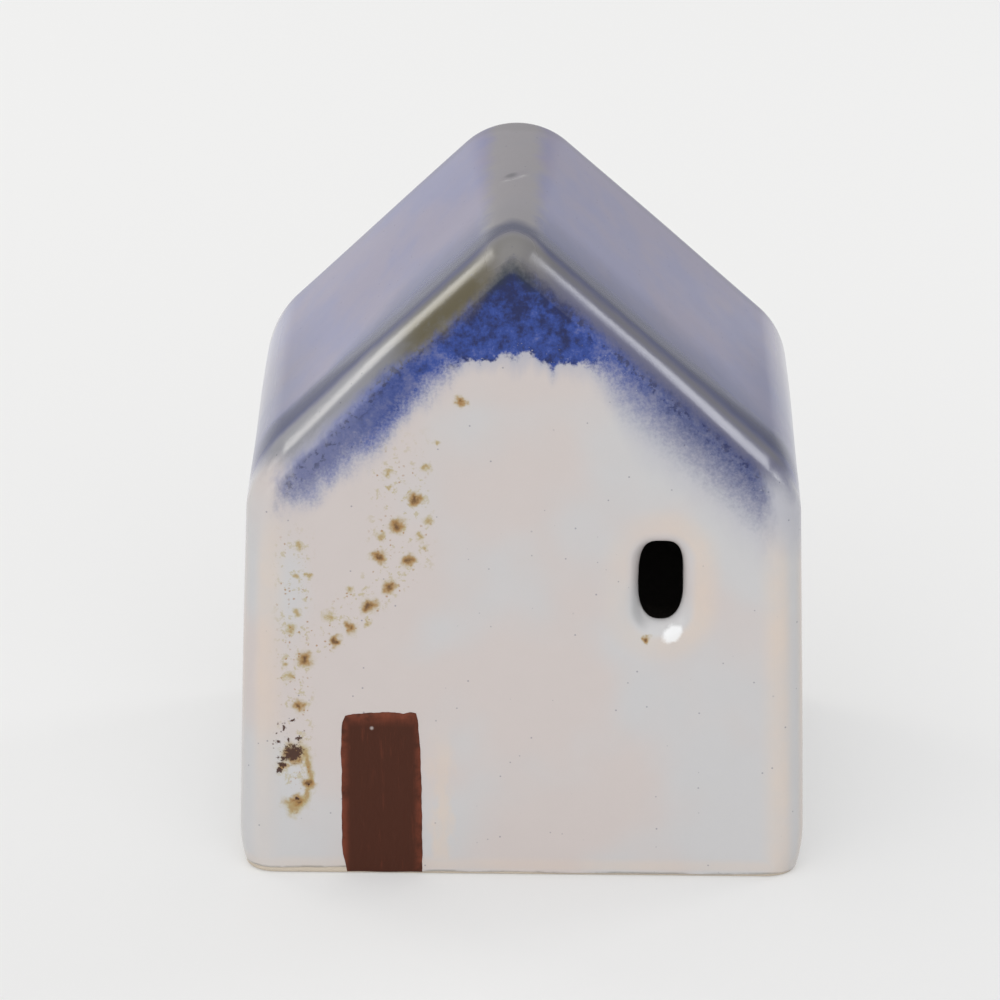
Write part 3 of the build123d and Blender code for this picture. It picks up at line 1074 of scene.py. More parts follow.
def roof_glaze_colour(graph, at, given):
    """Return the colour of the roof, from its slopes to the rounded rakes and the ridge."""
    flow = graph.noise(graph.stretched(at.where, (1.0, 0.6, 1.0)), 0.08, 3.0, 0.55)
    slope = graph.mix(graph.smooth(0.36, 0.64, flow), given["Lavender"], given["Lilac"])
    # Painted shade: the right slope is tinted darker with slate.
    slope = graph.mix(graph.smooth(-4, 6, at.x) * 0.13, slope, given["Slate"])
    front = graph.smooth(28, -10, at.y)
    behind = at.gable - graph.least(at.under, 4.5)
    inner = graph.smooth(-1.0, 3.5, at.side)
    reach = graph.between(graph.smooth(-16, -31, at.x), 29.0, 17.0)
    blue = graph.smooth(reach, 11.0, behind + (at.cloud - 0.5) * 4.0) * graph.smooth(10, -6, at.y) * inner
    eave = graph.smooth(12.0, 3.0, at.side) * front
    colour = graph.mix(graph.most(blue * 0.7, eave * 0.34), slope, given["Slate"])
    right_eave = eave * graph.smooth(-5, 5, at.x)
    colour = graph.mix(graph.most(blue * 0.26, right_eave * 0.24), colour, given["Cobalt"])
    ridge_x = house().ridge_shift / MM
    wander = (at.cloud - 0.5) * 3.0
    ridge = graph.smooth(5.6, 2.6, abs(at.x - ridge_x + wander)) * graph.smooth(88, 93, at.z)
    colour = graph.mix(ridge * 0.85, colour, given["Stone"])
    colour = crease_painted_light(graph, at, given, colour)
    dark = graph.band(5.0, 9.0, 10.5, 15.0, behind + (at.cloud - 0.5) * 2.5)
    dark = dark * graph.smooth(0, -15, at.y) * inner
    left_weight = graph.between(graph.smooth(-24, -33, at.x), 0.92, 0.76)
    weight = graph.between(graph.smooth(2, 12, at.x), left_weight, 1.0)
    colour = graph.mix(dark * weight, colour, given["Slate"])
    thin = graph.smooth(7.6, 4.8, behind + (at.cloud - 0.5) * 2.0) * graph.smooth(0.5, 4.5, at.side)
    thin = thin * graph.between(graph.smooth(-10, 10, at.y), 1.0, 0.25)
    stain = graph.band(-21, -15, -8, -2, at.x + (at.cloud - 0.5) * 5.0)
    stain = stain * graph.band(-6.0, -2.0, 4.4, 6.6, at.run) * graph.smooth(26, 33, 0.0 - at.y)
    stain = stain * graph.smooth(0.2, 0.5, at.drip * 0.5 + at.patch * 0.5)
    right = graph.smooth(-2, 9, at.x)
    low = graph.smooth(4.6, 2.0, behind)
    rake = graph.mix(right * (0.2 + 0.3 * low), given["Ash"], given["Lavender"])
    rake = graph.mix(right * low * 0.25, rake, given["Slate"])
    rake = graph.mix(graph.smooth(-13, -27, at.x) * 0.45, rake, given["Haze"])
    rake = graph.mix(graph.smooth(8.0, 2.5, abs(at.x - ridge_x)) * 0.35, rake, given["Stone"])
    rake = graph.mix(stain * 0.85, rake, given["Olive"])
    return graph.mix(thin, colour, rake)


def crease_painted_light(graph, at, given, colour):
    """Return the roof's colour with painted shade behind the crease on its ridge and a painted highlight
    along its lip.
    """
    along, aside = mark_places(at.x, at.y, CREASE_MIDDLE, CREASE_ALONG, CREASE_LENGTH, CREASE_WIDTH)
    behind = aside + 1.1
    ahead = aside - 0.7
    dark = graph.smooth(1.1, 0.2, graph.math("SQRT", along * along * 1.6 + behind * behind))
    pale = graph.smooth(1.0, 0.1, graph.math("SQRT", along * along + ahead * ahead * 1.6))
    on_ridge = graph.smooth(90, 94, at.z)
    # Painted shade behind the crease, then a painted highlight along its lip.
    colour = graph.mix(dark * on_ridge * 0.45, colour, given["Iron"])
    return graph.mix(pale * on_ridge * 0.4, colour, given["White"])


def fired_glaze():
    """Return the group that lays the glazes over the whole house, built once."""
    name = "Fired glaze"
    if name in bpy.data.node_groups:
        return bpy.data.node_groups[name]
    inputs = {"Place": PLACE, **{label.capitalize(): COLOUR for label in GLAZES}}
    graph, given, ends = new_group(name, inputs, {"Colour": COLOUR, "Roughness": NUMBER, "Height": NUMBER})
    at = GlazeFields(graph, given["Place"])
    wall = white_glaze(graph, at, given)
    blue, cover, haze = blue_glaze(graph, at, given)
    lower = graph.mix(haze, wall, given["Haze"])
    lower = graph.mix(cover, lower, blue)
    upper = roof_glaze_colour(graph, at, given)
    eave = 12.0 * graph.smooth(3.4, 14.0, at.gable)
    corner = graph.smooth(7.5, 2.0, at.side) * graph.between(graph.smooth(-5, 5, at.x), 4.6, 2.6)
    olive = graph.band(-22, -15, -8, -2, at.x) * graph.smooth(-30, -35, at.y)
    fade = 2.0 + 1.6 * graph.smooth(8.0, 3.0, at.side)
    edge = at.run - eave - olive * 1.7 + corner + (at.drip - 0.5) * 3.0 + (at.grain - 0.5) * 1.2 - 2.1
    below = graph.smooth(0.0 - fade, fade, edge)
    colour = graph.mix(below, upper, lower)
    specks = graph.cells(at.where, 0.62)
    chance = graph.parts(graph.cells(at.where, 0.62, "Color"))[0]
    dark = graph.smooth(0.12, 0.06, specks) * graph.smooth(0.72, 0.8, chance)
    colour = graph.mix(dark * 0.45, colour, given["Slate"])
    pale = 0.965 + at.fine * 0.035 + at.cloud * 0.035
    colour = graph.made("ShaderNodeVectorMath", {0: colour, 3: pale}, operation="SCALE")
    wave = graph.noise(graph.stretched(at.where, (1.0, 1.0, 0.0)), 0.09) - 0.5
    line = 0.5 + 0.55 * graph.smooth(-14, -30, at.x) + wave * 0.7
    bare = graph.smooth(line + 0.1, line - 0.12, at.z)
    seam = graph.band(line - 0.1, line + 0.05, line + 0.12, line + 0.4, at.z)
    colour = graph.mix(seam * 0.4 * graph.smooth(0.4, 0.6, at.cloud), colour, given["Olive"])
    colour = graph.mix(bare, colour, given["Clay"])
    graph.feed(ends.inputs["Colour"], colour)
    rolled = graph.band(-14.0, -5.0, 0.0, 4.0, at.run) * graph.smooth(0, -20, at.y)
    nose = graph.smooth(7.0, 2.0, abs(at.x - house().ridge_shift / MM))
    gloss = 0.13 + rolled * (0.07 + nose * 0.1) + (at.cloud - 0.5) * 0.08
    gloss = gloss + cover * below * (at.grain - 0.4) * 0.25
    graph.feed(ends.inputs["Roughness"], graph.between(bare, gloss, 0.7))
    ripple = (at.cloud - 0.5) * 0.03 + (at.grain - 0.5) * 0.006
    height = ripple + cover * below * (at.grain - 0.5) * 0.02 - bare * (0.12 + (at.fine - 0.5) * 0.08)
    graph.feed(ends.inputs["Height"], height)
    return graph.tree


# Iron spots on the front: across, up and radius in millimetres
AMBER_SPOTS = (
    (-16.4, 62.2, 1.5), (-19.2, 57.8, 1.6), (-21.8, 52.7, 1.3), (-17.4, 52.1, 1.3), (-20.2, 47.7, 1.5),
    (-23.5, 44.8, 1.6), (-26.2, 41.1, 1.3), (-28.6, 38.8, 1.2), (-33.1, 35.8, 1.7), (-34.1, 28.1, 1.3),
    (-9.6, 77.9, 1.1), (18.8, 39.5, 0.75), (-35.0, 20.0, 2.2), (-36.9, 18.0, 1.3), (-32.8, 15.2, 1.2),
    (-34.6, 12.2, 1.3),
)
KHAKI_SPOTS = (
    (-26.5, 47.3, 1.0), (-29.3, 43.0, 1.4), (-20.4, 66.3, 1.0), (-14.7, 67.4, 1.1), (-21.7, 56.1, 1.1),
    (-15.7, 55.9, 1.0), (-15.0, 54.3, 0.8), (-14.3, 58.7, 1.1), (-33.9, 54.3, 1.2), (-34.4, 49.5, 0.8),
    (-32.5, 49.5, 0.7), (-34.1, 43.4, 1.1), (-35.3, 40.8, 1.2), (-36.3, 35.0, 0.9), (-35.6, 33.0, 1.2),
    (-23.5, 41.9, 0.8), (-13.0, 71.4, 0.8), (-20.2, 64.0, 0.6),
)
BLOTS = (
    (-35.1, 20.2, 1.7), (-34.3, 20.7, 1.1), (-36.0, 19.6, 0.8), (-36.9, 18.1, 0.75), (-37.2, 17.2, 0.45),
    (-34.2, 22.6, 0.5), (-36.3, 24.5, 0.4), (-32.8, 14.9, 0.45), (-34.5, 12.4, 0.4),
    (-35.7, 22.4, 0.4), (-37.4, 22.0, 0.45), (-35.2, 25.6, 0.35), (-36.9, 19.4, 0.5),
)


def nearest_spot(graph, spot, spots):
    """Return the distance to the nearest spot, as a share of that spot's radius."""
    nearest = None
    for across, up, radius in spots:
        apart = graph.made("ShaderNodeVectorMath", {0: spot, 1: (across, 0.0, up)}, output=1,
                           operation="DISTANCE") / radius
        nearest = apart if nearest is None else graph.least(nearest, apart)
    return nearest


def iron_spots():
    """Return the group that bleeds iron spots through the front's glaze, built once."""
    name = "Iron spots"
    if name in bpy.data.node_groups:
        return bpy.data.node_groups[name]
    inputs = {"Place": PLACE, "Glaze": COLOUR, "Amber": COLOUR, "Rust": COLOUR, "Khaki": COLOUR}
    graph, given, ends = new_group(name, inputs, {"Colour": COLOUR, "Height": NUMBER})
    place = given["Place"]
    x, y, z = graph.parts(place)
    face = graph.smooth(-34.0, -35.5, y)
    coarse = graph.parts(graph.made("ShaderNodeTexNoise", {"Vector": place, "Scale": 0.7}, output="Color"))
    grain = graph.noise(place, 3.0, 2.0, 0.6)
    spot = graph.vector(x + (coarse[0] - 0.5) * 2.2, 0.0, z + (coarse[1] - 0.5) * 2.2)
    amber = nearest_spot(graph, spot, AMBER_SPOTS) + (grain - 0.5) * 0.3
    khaki = nearest_spot(graph, spot, KHAKI_SPOTS) + (grain - 0.5) * 0.7
    smear = graph.vector(x + (coarse[2] - 0.5) * 1.6, 0.0, z + (coarse[0] - 0.5) * 1.6)
    blots = nearest_spot(graph, smear, BLOTS) + (grain - 0.5) * 2.0
    line = x + 18.5 + 1.05 * graph.most(51.0 - z, 0.0)
    trail = graph.band(-6.0, -3.0, 3.0, 6.0, line) * graph.band(34.0, 38.0, 64.0, 76.0, z)
    column = graph.band(-38.6, -36.0, -33.0, -31.0, x) * graph.band(8.0, 14.0, 52.0, 60.0, z)
    across = (x + 35.0) / 2.5
    along = (z - 16.4) / 5.4
    ring = graph.math("SQRT", across * across + along * along)
    near_x = (x + 35.7) / 2.9
    near_z = (z - 22.2) / 4.4
    cluster = graph.smooth(1.2, 0.7, graph.math("SQRT", near_x * near_x + near_z * near_z))
    stain = graph.smooth(0.56, 0.66, graph.noise(place, 1.1, 3.0, 0.65)) * graph.most(trail, column)
    colour = graph.mix(stain * 0.55 * face, given["Glaze"], given["Khaki"])
    colour = graph.mix(graph.smooth(1.0, 0.1, khaki) * 0.8 * face, colour, given["Khaki"])
    colour = graph.mix(graph.smooth(0.6, 0.0, khaki) * 0.4 * face, colour, given["Amber"])
    low_left = graph.smooth(13.5, 11.5, z) * graph.smooth(-37.4, -35.8, x)
    side = graph.most(graph.smooth(-34.8, -33.2, x), low_left)
    off = abs(ring - 1.0 + (coarse[2] - 0.5) * 0.5)
    colour = graph.mix(graph.smooth(0.36, 0.06, off) * side * 0.8 * face, colour, given["Khaki"])
    thread = graph.smooth(0.22, 0.02, off + (grain - 0.5) * 0.4)
    colour = graph.mix(thread * side * 0.55 * face, colour, given["Amber"])
    colour = graph.mix(graph.smooth(1.2, 0.35, amber) * 0.75 * face, colour, given["Khaki"])
    colour = graph.mix(graph.smooth(0.95, 0.25, amber) * 0.85 * face, colour, given["Amber"])
    core = graph.smooth(0.46, 0.0, amber + (coarse[2] - 0.5) * 0.5) * 0.72
    dense = graph.most(graph.most(trail * 0.32, column * 0.36), cluster * 0.65)
    chance = graph.parts(graph.cells(place, 1.5, "Color"))[0]
    fleck = graph.smooth(0.36, 0.1, graph.cells(place, 1.5) + (grain - 0.5) * 0.7)
    fleck = fleck * graph.smooth(1.0 - dense, 1.25 - dense, chance)
    colour = graph.mix(fleck * (1.0 - cluster) * 0.7 * face, colour, given["Amber"])
    dark = graph.most(graph.most(core, fleck * cluster), graph.smooth(1.0, 0.5, blots))
    colour = graph.mix(dark * 0.96 * face, colour, given["Rust"])
    graph.feed(ends.inputs["Colour"], colour)
    dent = graph.smooth(0.9, 0.1, amber) * 0.07 + graph.smooth(0.9, 0.1, khaki) * 0.03
    graph.feed(ends.inputs["Height"], 0.0 - dent * face)
    return graph.tree


# Materials

def new_material(name):
    """Return a new material, its graph, its shader node and places on the piece in millimetres."""
    material = bpy.data.materials.new(name)
    material.use_nodes = True
    graph = Graph(material.node_tree)
    shader = material.node_tree.nodes["Principled BSDF"]
    where = Wire(graph, graph.node("ShaderNodeTexCoord").outputs["Object"])
    where = graph.made("ShaderNodeVectorMath", {0: where, 3: 1 / MM}, operation="SCALE")
    return material, graph, shader, where


def bumped(graph, shader, height, strength=1.0):
    """Feed a height in millimetres to the shader as a bump."""
    node = graph.node("ShaderNodeBump")
    graph.feed(node.inputs["Strength"], strength)
    graph.feed(node.inputs["Distance"], MM)
    graph.feed(node.inputs["Height"], height)
    graph.feed(shader.inputs["Normal"], Wire(graph, node.outputs[0]))


def glazed(name, spotted=False):
    """Return the material of a glazed slab, with iron spots if wanted, or the one made before."""
    if name in bpy.data.materials:
        return bpy.data.materials[name]
    material, graph, shader, where = new_material(name)
    colours = glaze_colours()
    glaze = graph.node("ShaderNodeGroup", node_tree=fired_glaze())
    graph.feed(glaze.inputs["Place"], where)
    for label in GLAZES:
        graph.feed(glaze.inputs[label.capitalize()], getattr(colours, label))
    colour = Wire(graph, glaze.outputs["Colour"])
    height = Wire(graph, glaze.outputs["Height"])
    if spotted:
        spots = graph.node("ShaderNodeGroup", node_tree=iron_spots())
        graph.feed(spots.inputs["Place"], where)
        graph.feed(spots.inputs["Glaze"], colour)
        for label in ("amber", "rust", "khaki"):
            graph.feed(spots.inputs[label.capitalize()], getattr(colours, label))
        colour = Wire(graph, spots.outputs["Colour"])
        height = height + Wire(graph, spots.outputs["Height"])
    graph.feed(shader.inputs["Base Color"], colour)
    graph.feed(shader.inputs["Roughness"], Wire(graph, glaze.outputs["Roughness"]))
    graph.feed(shader.inputs["IOR"], 1.5)
    bumped(graph, shader, height)
    return material


def bare_clay():
    """Return the material of the unglazed clay inside."""
    name = "bare_clay"
    if name in bpy.data.materials:
        return bpy.data.materials[name]
    material, graph, shader, where = new_material(name)
    grain = graph.noise(where, 1.7, 4.0, 0.7)
    cloud = graph.noise(where, 0.08, 2.0)
    clay = glaze_colours().clay
    darker = [channel * 0.72 for channel in clay]
    colour = graph.mix(graph.smooth(0.3, 0.7, grain * 0.5 + cloud * 0.5), darker, clay)
    grog = graph.smooth(0.16, 0.08, graph.cells(where, 0.8))
    colour = graph.mix(grog * 0.5, colour, glaze_colours().olive)
    height = graph.parts(where)[2]
    # The clay inside turns near-black from about 5 mm up.
    inner_dark = graph.smooth(5, 19, height + (cloud - 0.5) * 10.0)
    colour = graph.mix(inner_dark * 0.97, colour, glaze_colours().inner_dark)
    graph.feed(shader.inputs["Base Color"], colour)
    graph.feed(shader.inputs["Roughness"], 0.72 + grain * 0.2)
    bumped(graph, shader, grain * 0.12)
    return material


def door_enamel():
    """Return the material of the brushed-on door."""
    material, graph, shader, where = new_material("brown_enamel")
    colours = glaze_colours()
    x, _, z = graph.parts(where)
    strokes = graph.noise(graph.stretched(where, (1.0, 1.0, 0.12)), 1.6, 3.0, 0.6)
    blotch = graph.noise(where, 0.35, 3.0, 0.6)
    sizes = bpy.context.scene.tealight_door
    half = sizes.width / 2 / MM
    across = abs(x - sizes.across / MM)
    edge = graph.most(graph.smooth(half - 1.7, half - 0.3, across), graph.smooth(24.6, 26.8, z))
    thin = edge * graph.smooth(0.3, 0.62, blotch) + graph.smooth(0.56, 0.74, strokes) * 0.3
    colour = graph.mix(thin * 0.8, colours.door, colours.door_edge)
    graph.feed(shader.inputs["Roughness"], 0.3 + blotch * 0.2)
    graph.feed(shader.inputs["Specular IOR Level"], 0.14)
    # Painted highlight: a small pale glint on the enamel, in the blush colour.
    glint_x = x + 23.0
    glint_z = z - 24.6
    painted_glint = graph.smooth(0.42, 0.05, graph.math("SQRT", glint_x * glint_x + glint_z * glint_z))
    graph.feed(shader.inputs["Base Color"], graph.mix(painted_glint * 0.62, colour, colours.blush))
    bumped(graph, shader, strokes * 0.05)
    return material


def cup_metal():
    """Return the material of the pressed aluminium cup."""
    material, graph, shader, where = new_material("pressed_aluminium")
    roll = graph.noise(graph.stretched(where, (0.25, 2.4, 2.4)), 1.2, 3.0, 0.6)
    dull = graph.noise(where, 0.15, 3.0, 0.6)
    colour = graph.mix(dull, linear(214, 214, 216), linear(232, 232, 233))
    graph.feed(shader.inputs["Base Color"], colour)
    graph.feed(shader.inputs["Metallic"], 1.0)
    graph.feed(shader.inputs["Roughness"], 0.24 + roll * 0.16)
    bumped(graph, shader, roll * 0.01 + dull * 0.05)
    return material


def candle_wax():
    """Return the material of the wax."""
    material, graph, shader, where = new_material("cast_wax")
    cloud = graph.noise(where, 0.16, 4.0, 0.6)
    bloom = graph.noise(where, 1.1, 3.0, 0.6)
    colour = graph.mix(graph.smooth(0.3, 0.7, cloud), linear(232, 226, 212), linear(243, 240, 231))
    graph.feed(shader.inputs["Base Color"], colour)
    graph.feed(shader.inputs["Roughness"], 0.34 + bloom * 0.2)
    graph.feed(shader.inputs["Subsurface Weight"], 0.25)
    graph.feed(shader.inputs["Subsurface Radius"], (0.004, 0.003, 0.002))
    graph.feed(shader.inputs["Subsurface Scale"], 1.0)
    bumped(graph, shader, cloud * 0.15 + bloom * 0.02)
    return material


def wick_cotton():
    """Return the material of the waxed cotton wick."""
    material, graph, shader, where = new_material("waxed_cotton")
    fibre = graph.noise(graph.stretched(where, (1.0, 1.0, 0.3)), 9.0, 3.0, 0.7)
    colour = graph.mix(fibre, linear(202, 192, 168), linear(240, 234, 220))
    graph.feed(shader.inputs["Base Color"], colour)
    graph.feed(shader.inputs["Roughness"], 0.62 + fibre * 0.25)
    bumped(graph, shader, fibre * 0.06)
    return material


def sustainer_steel():
    """Return the material of the tinned steel sustainer."""
    material, graph, shader, where = new_material("tinned_steel")
    brush = graph.noise(graph.stretched(where, (0.3, 3.0, 3.0)), 1.6, 3.0, 0.6)
    colour = graph.mix(brush, linear(184, 184, 186), linear(212, 212, 214))
    graph.feed(shader.inputs["Base Color"], colour)
    graph.feed(shader.inputs["Metallic"], 1.0)
    graph.feed(shader.inputs["Roughness"], 0.26 + brush * 0.18)
    bumped(graph, shader, brush * 0.01)
    return material


# Plaited wick, grown with geometry nodes

def wick_tree():
    """Return the node tree that plaits strands round a core, with named inputs."""
    tree = bpy.data.node_groups.new("Plaited wick", "GeometryNodeTree")
    face = tree.interface
    face.new_socket("Geometry", in_out="INPUT", socket_type="NodeSocketGeometry")
    sockets = {"Strands": "NodeSocketInt", "Turns": "NodeSocketFloat", "Radius": "NodeSocketFloat",
               "Thickness": "NodeSocketFloat", "Foot": "NodeSocketFloat", "Height": "NodeSocketFloat",
               "Material": "NodeSocketMaterial"}
    for label, kind in sockets.items():
        face.new_socket(label, in_out="INPUT", socket_type=kind)
    face.new_socket("Geometry", in_out="OUTPUT", socket_type="NodeSocketGeometry")
    nodes = tree.nodes
    link = tree.links.new
    entry = nodes.new("NodeGroupInput")
    gather = nodes.new("GeometryNodeJoinGeometry")
    for way in (False, True):
        link(plait(tree, entry, way), gather.inputs[0])
    core = nodes.new("GeometryNodeCurvePrimitiveLine")
    top = nodes.new("ShaderNodeCombineXYZ")
    link(entry.outputs["Height"], top.inputs["Z"])
    link(top.outputs[0], core.inputs["End"])
    link(tube(tree, core.outputs[0], entry.outputs["Radius"], 14), gather.inputs[0])
    lift = nodes.new("GeometryNodeTransform")
    step = nodes.new("ShaderNodeCombineXYZ")
    link(entry.outputs["Foot"], step.inputs["Z"])
    link(step.outputs[0], lift.inputs["Translation"])
    link(gather.outputs[0], lift.inputs[0])
    real = nodes.new("GeometryNodeRealizeInstances")
    link(lift.outputs[0], real.inputs[0])
    smooth = nodes.new("GeometryNodeSetShadeSmooth")
    link(real.outputs[0], smooth.inputs[0])
    finish = nodes.new("GeometryNodeSetMaterial")
    link(smooth.outputs[0], finish.inputs["Geometry"])
    link(entry.outputs["Material"], finish.inputs["Material"])
    link(finish.outputs[0], nodes.new("NodeGroupOutput").inputs[0])
    return tree


def tube(tree, curve, radius, sides):
    """Return a curve made into a closed tube."""
    ring = tree.nodes.new("GeometryNodeCurvePrimitiveCircle")
    ring.inputs["Resolution"].default_value = sides
    tree.links.new(radius, ring.inputs["Radius"])
    mesh = tree.nodes.new("GeometryNodeCurveToMesh")
    mesh.inputs["Fill Caps"].default_value = True
    tree.links.new(curve, mesh.inputs["Curve"])
    tree.links.new(ring.outputs[0], mesh.inputs["Profile Curve"])
    return mesh.outputs[0]


def plait(tree, entry, back):
    """Return the strands that wind one way, spaced evenly round the wick."""
    nodes = tree.nodes
    link = tree.links.new
    spiral = nodes.new("GeometryNodeCurveSpiral")
    spiral.inputs["Resolution"].default_value = 24
    spiral.inputs["Reverse"].default_value = back
    link(entry.outputs["Turns"], spiral.inputs["Rotations"])
    link(entry.outputs["Radius"], spiral.inputs["Start Radius"])
    link(entry.outputs["Radius"], spiral.inputs["End Radius"])
    link(entry.outputs["Height"], spiral.inputs["Height"])
    spots = nodes.new("GeometryNodeMeshLine")
    spots.inputs["Offset"].default_value = (0.0, 0.0, 0.0)
    link(entry.outputs["Strands"], spots.inputs["Count"])
    number = nodes.new("GeometryNodeInputIndex")
    share = nodes.new("ShaderNodeMath")
    share.operation = "DIVIDE"
    link(number.outputs[0], share.inputs[0])
    link(entry.outputs["Strands"], share.inputs[1])
    angle = nodes.new("ShaderNodeMath")
    angle.operation = "MULTIPLY"
    angle.inputs[1].default_value = math.tau
    link(share.outputs[0], angle.inputs[0])
    turn = nodes.new("ShaderNodeCombineXYZ")
    link(angle.outputs[0], turn.inputs["Z"])
    copies = nodes.new("GeometryNodeInstanceOnPoints")
    link(spots.outputs[0], copies.inputs["Points"])
    link(spiral.outputs[0], copies.inputs["Instance"])
    link(turn.outputs[0], copies.inputs["Rotation"])
    real = nodes.new("GeometryNodeRealizeInstances")
    link(copies.outputs[0], real.inputs[0])
    return tube(tree, real.outputs[0], entry.outputs["Thickness"], 8)


def plaited_wick(name, finish):
    """Return the wick as a plain mesh object."""
    sizes = bpy.context.scene.tealight_candle
    tree = wick_tree()
    seed = put_in_scene(name + "_seed", bpy.data.meshes.new(name + "_seed"))
    modifier = seed.modifiers.new("Plait", "NODES")
    modifier.node_group = tree
    thickness = 0.2 * MM
    values = {"Strands": sizes.strands, "Turns": 6.5, "Radius": sizes.wick_radius - thickness - 0.01 * MM,
              "Thickness": thickness, "Foot": sizes.wick_foot + thickness,
              "Height": sizes.wick_top - sizes.wick_foot - 2 * thickness, "Material": finish}
    for item in tree.interface.items_tree:
        if item.in_out == "INPUT" and item.name in values:
            modifier[item.identifier] = values[item.name]
    grown = seed.evaluated_get(bpy.context.evaluated_depsgraph_get())
    mesh = bpy.data.meshes.new_from_object(grown)
    mesh.name = name
    bpy.data.objects.remove(seed)
    return put_in_scene(name, mesh)


# Operators

class TEALIGHT_OT_gables(Operator):
    """Build the front gable with its window and the closed rear gable"""

    bl_idname = "tealight.gables"
    bl_label = "Gables"

    def execute(self, context):
        skin = ClaySkin()
        inside = bare_clay()
        front = gable_slab("front_gable_slab", skin.front_edge, skin.front_edge_normals, skin.front_cap,
                           skin.front_cap_normals, -1.0, (glazed("glazed_front", True), inside))
        rear = gable_slab("rear_gable_slab", skin.rear_edge, skin.rear_edge_normals, skin.rear_cap,
                          skin.rear_cap_normals, 1.0, (glazed("glazed_wall"), inside))
        settle(front, "front_gable", "house")
        settle(rear, "rear_gable", "house")
        return {"FINISHED"}


class TEALIGHT_OT_walls(Operator):
    """Build the two side walls"""

    bl_idname = "tealight.walls"
    bl_label = "Walls"

    def execute(self, context):
        skin = ClaySkin()
        finishes = (glazed("glazed_wall"), bare_clay())
        left = long_slab("left_wall_slab", skin, 0, LEFT_EAVE_JOINT, finishes)
        right = long_slab("right_wall_slab", skin, RIGHT_EAVE_JOINT, STATIONS - 1, finishes)
        settle(left, "left_wall", "house")
        settle(right, "right_wall", "house")
        return {"FINISHED"}


class TEALIGHT_OT_roofs(Operator):
    """Build the two roof slopes"""

    bl_idname = "tealight.roofs"
    bl_label = "Roof slopes"

    def execute(self, context):
        skin = ClaySkin()
        finishes = (glazed("glazed_roof"), bare_clay())
        left = long_slab("left_roof_slab", skin, LEFT_EAVE_JOINT, RIDGE_JOINT, finishes)
        right = long_slab("right_roof_slab", skin, RIDGE_JOINT, RIGHT_EAVE_JOINT, finishes)
        settle(left, "left_roof", "house")
        settle(right, "right_roof", "house")
        return {"FINISHED"}


class TEALIGHT_OT_door(Operator):
    """Brush the door on the front gable"""

    bl_idname = "tealight.door"
    bl_label = "Door"

    def execute(self, context):
        front, back = door_pad()
        piece = Piece()
        piece.sheet(front, sheet_normals(front, False, (0.0, -1.0, 0.0)))
        piece.sheet(back, (0.0, 1.0, 0.0))
        settle(piece.make("door_brushed", [door_enamel()]), "door_enamel", "house")
        return {"FINISHED"}


class TEALIGHT_OT_cup(Operator):
    """Press the tealight's metal cup"""

    bl_idname = "tealight.cup"
    bl_label = "Cup"

    def execute(self, context):
        profile, ribs = cup_profile()
        made = turned_piece("tealight_cup_pressed", lathed(profile, ribs), [cup_metal()])
        settle(made, "tealight_cup", "tealight")
        return {"FINISHED"}


class TEALIGHT_OT_wax(Operator):
    """Cast the wax in the cup"""

    bl_idname = "tealight.wax"
    bl_label = "Wax"

    def execute(self, context):
        made = turned_piece("candle_wax_cast", lathed(wax_profile()), [candle_wax()])
        settle(made, "candle_wax", "tealight")
        return {"FINISHED"}


class TEALIGHT_OT_wick(Operator):
    """Plait the wick"""

    bl_idname = "tealight.wick"
    bl_label = "Wick"

    def execute(self, context):
        settle(plaited_wick("candle_wick_plaited", wick_cotton()), "candle_wick", "tealight")
        return {"FINISHED"}


class TEALIGHT_OT_sustainer(Operator):
    """Finish the steel sustainer under the wick"""

    bl_idname = "tealight.sustainer"
    bl_label = "Sustainer"

    def execute(self, context):
        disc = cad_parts["wick_sustainer"]
        disc.data.materials.clear()
        disc.data.materials.append(sustainer_steel())
        return {"FINISHED"}


class TEALIGHT_OT_stage(Operator):
    """Set up the floor, the soft light and the camera"""

    bl_idname = "tealight.stage"
    bl_label = "Stage"

    def execute(self, context):
        lay_floor()
        light_room()
        stage = context.scene.tealight_stage
        softbox("left_softbox", LEFT_BOX, stage.left_light, stage.left_colour)
        softbox("right_softbox", RIGHT_BOX, stage.right_light, stage.right_colour)
        set_camera()
        context.scene.view_settings.view_transform = "Standard"
        return {"FINISHED"}


class TEALIGHT_PT_panel(Panel):
    """Lists the steps that build the tealight house"""

    bl_idname = "TEALIGHT_PT_panel"
    bl_label = "Tealight house"
    bl_space_type = "VIEW_3D"
    bl_region_type = "UI"
    bl_category = "Tealight house"

    def draw(self, context):
        for operator in OPERATORS:
            self.layout.operator(operator.bl_idname)


# Stage

class StageSettings(PropertyGroup):
    """Light, floor and camera"""

    left_light: light_level("Left light", "Brightness of the left softbox", 5.3)
    right_light: light_level("Right light", "Brightness of the right softbox", 6.0)
    left_colour: colour("Left colour", "Colour of the left softbox", 255, 252, 244)
    right_colour: colour("Right colour", "Colour of the right softbox", 253, 254, 255)
    backdrop: colour("Backdrop", "Colour of the floor and backdrop", 240, 240, 240)
    room_light: light_level("Room light", "Brightness of the room all round", 0.44)
    horizon_light: light_level("Horizon light", "Brightness added at the horizon", 0.2)
    ceiling_light: light_level("Ceiling light", "Brightness added overhead", 0.6)
    front_light: light_level("Front light", "Brightness added in front", 1.03)
    elevation: tilt("Elevation", "Height angle of the camera", 21.21)
    azimuth: tilt("Azimuth", "Angle of the camera to the right of the front", 0.56)
    roll: tilt("Roll", "Turn of the camera about its own axis", 0.31)
    distance: length("Distance", "Distance from the camera to its target", 887.75)
    target_x: place("Target across", "Across place that the camera looks at", -3.91)
    target_z: place("Target up", "Height that the camera looks at", 47.85)
    lens: FloatProperty(name="Lens", description="Focal length in millimetres", default=202.63, min=1)


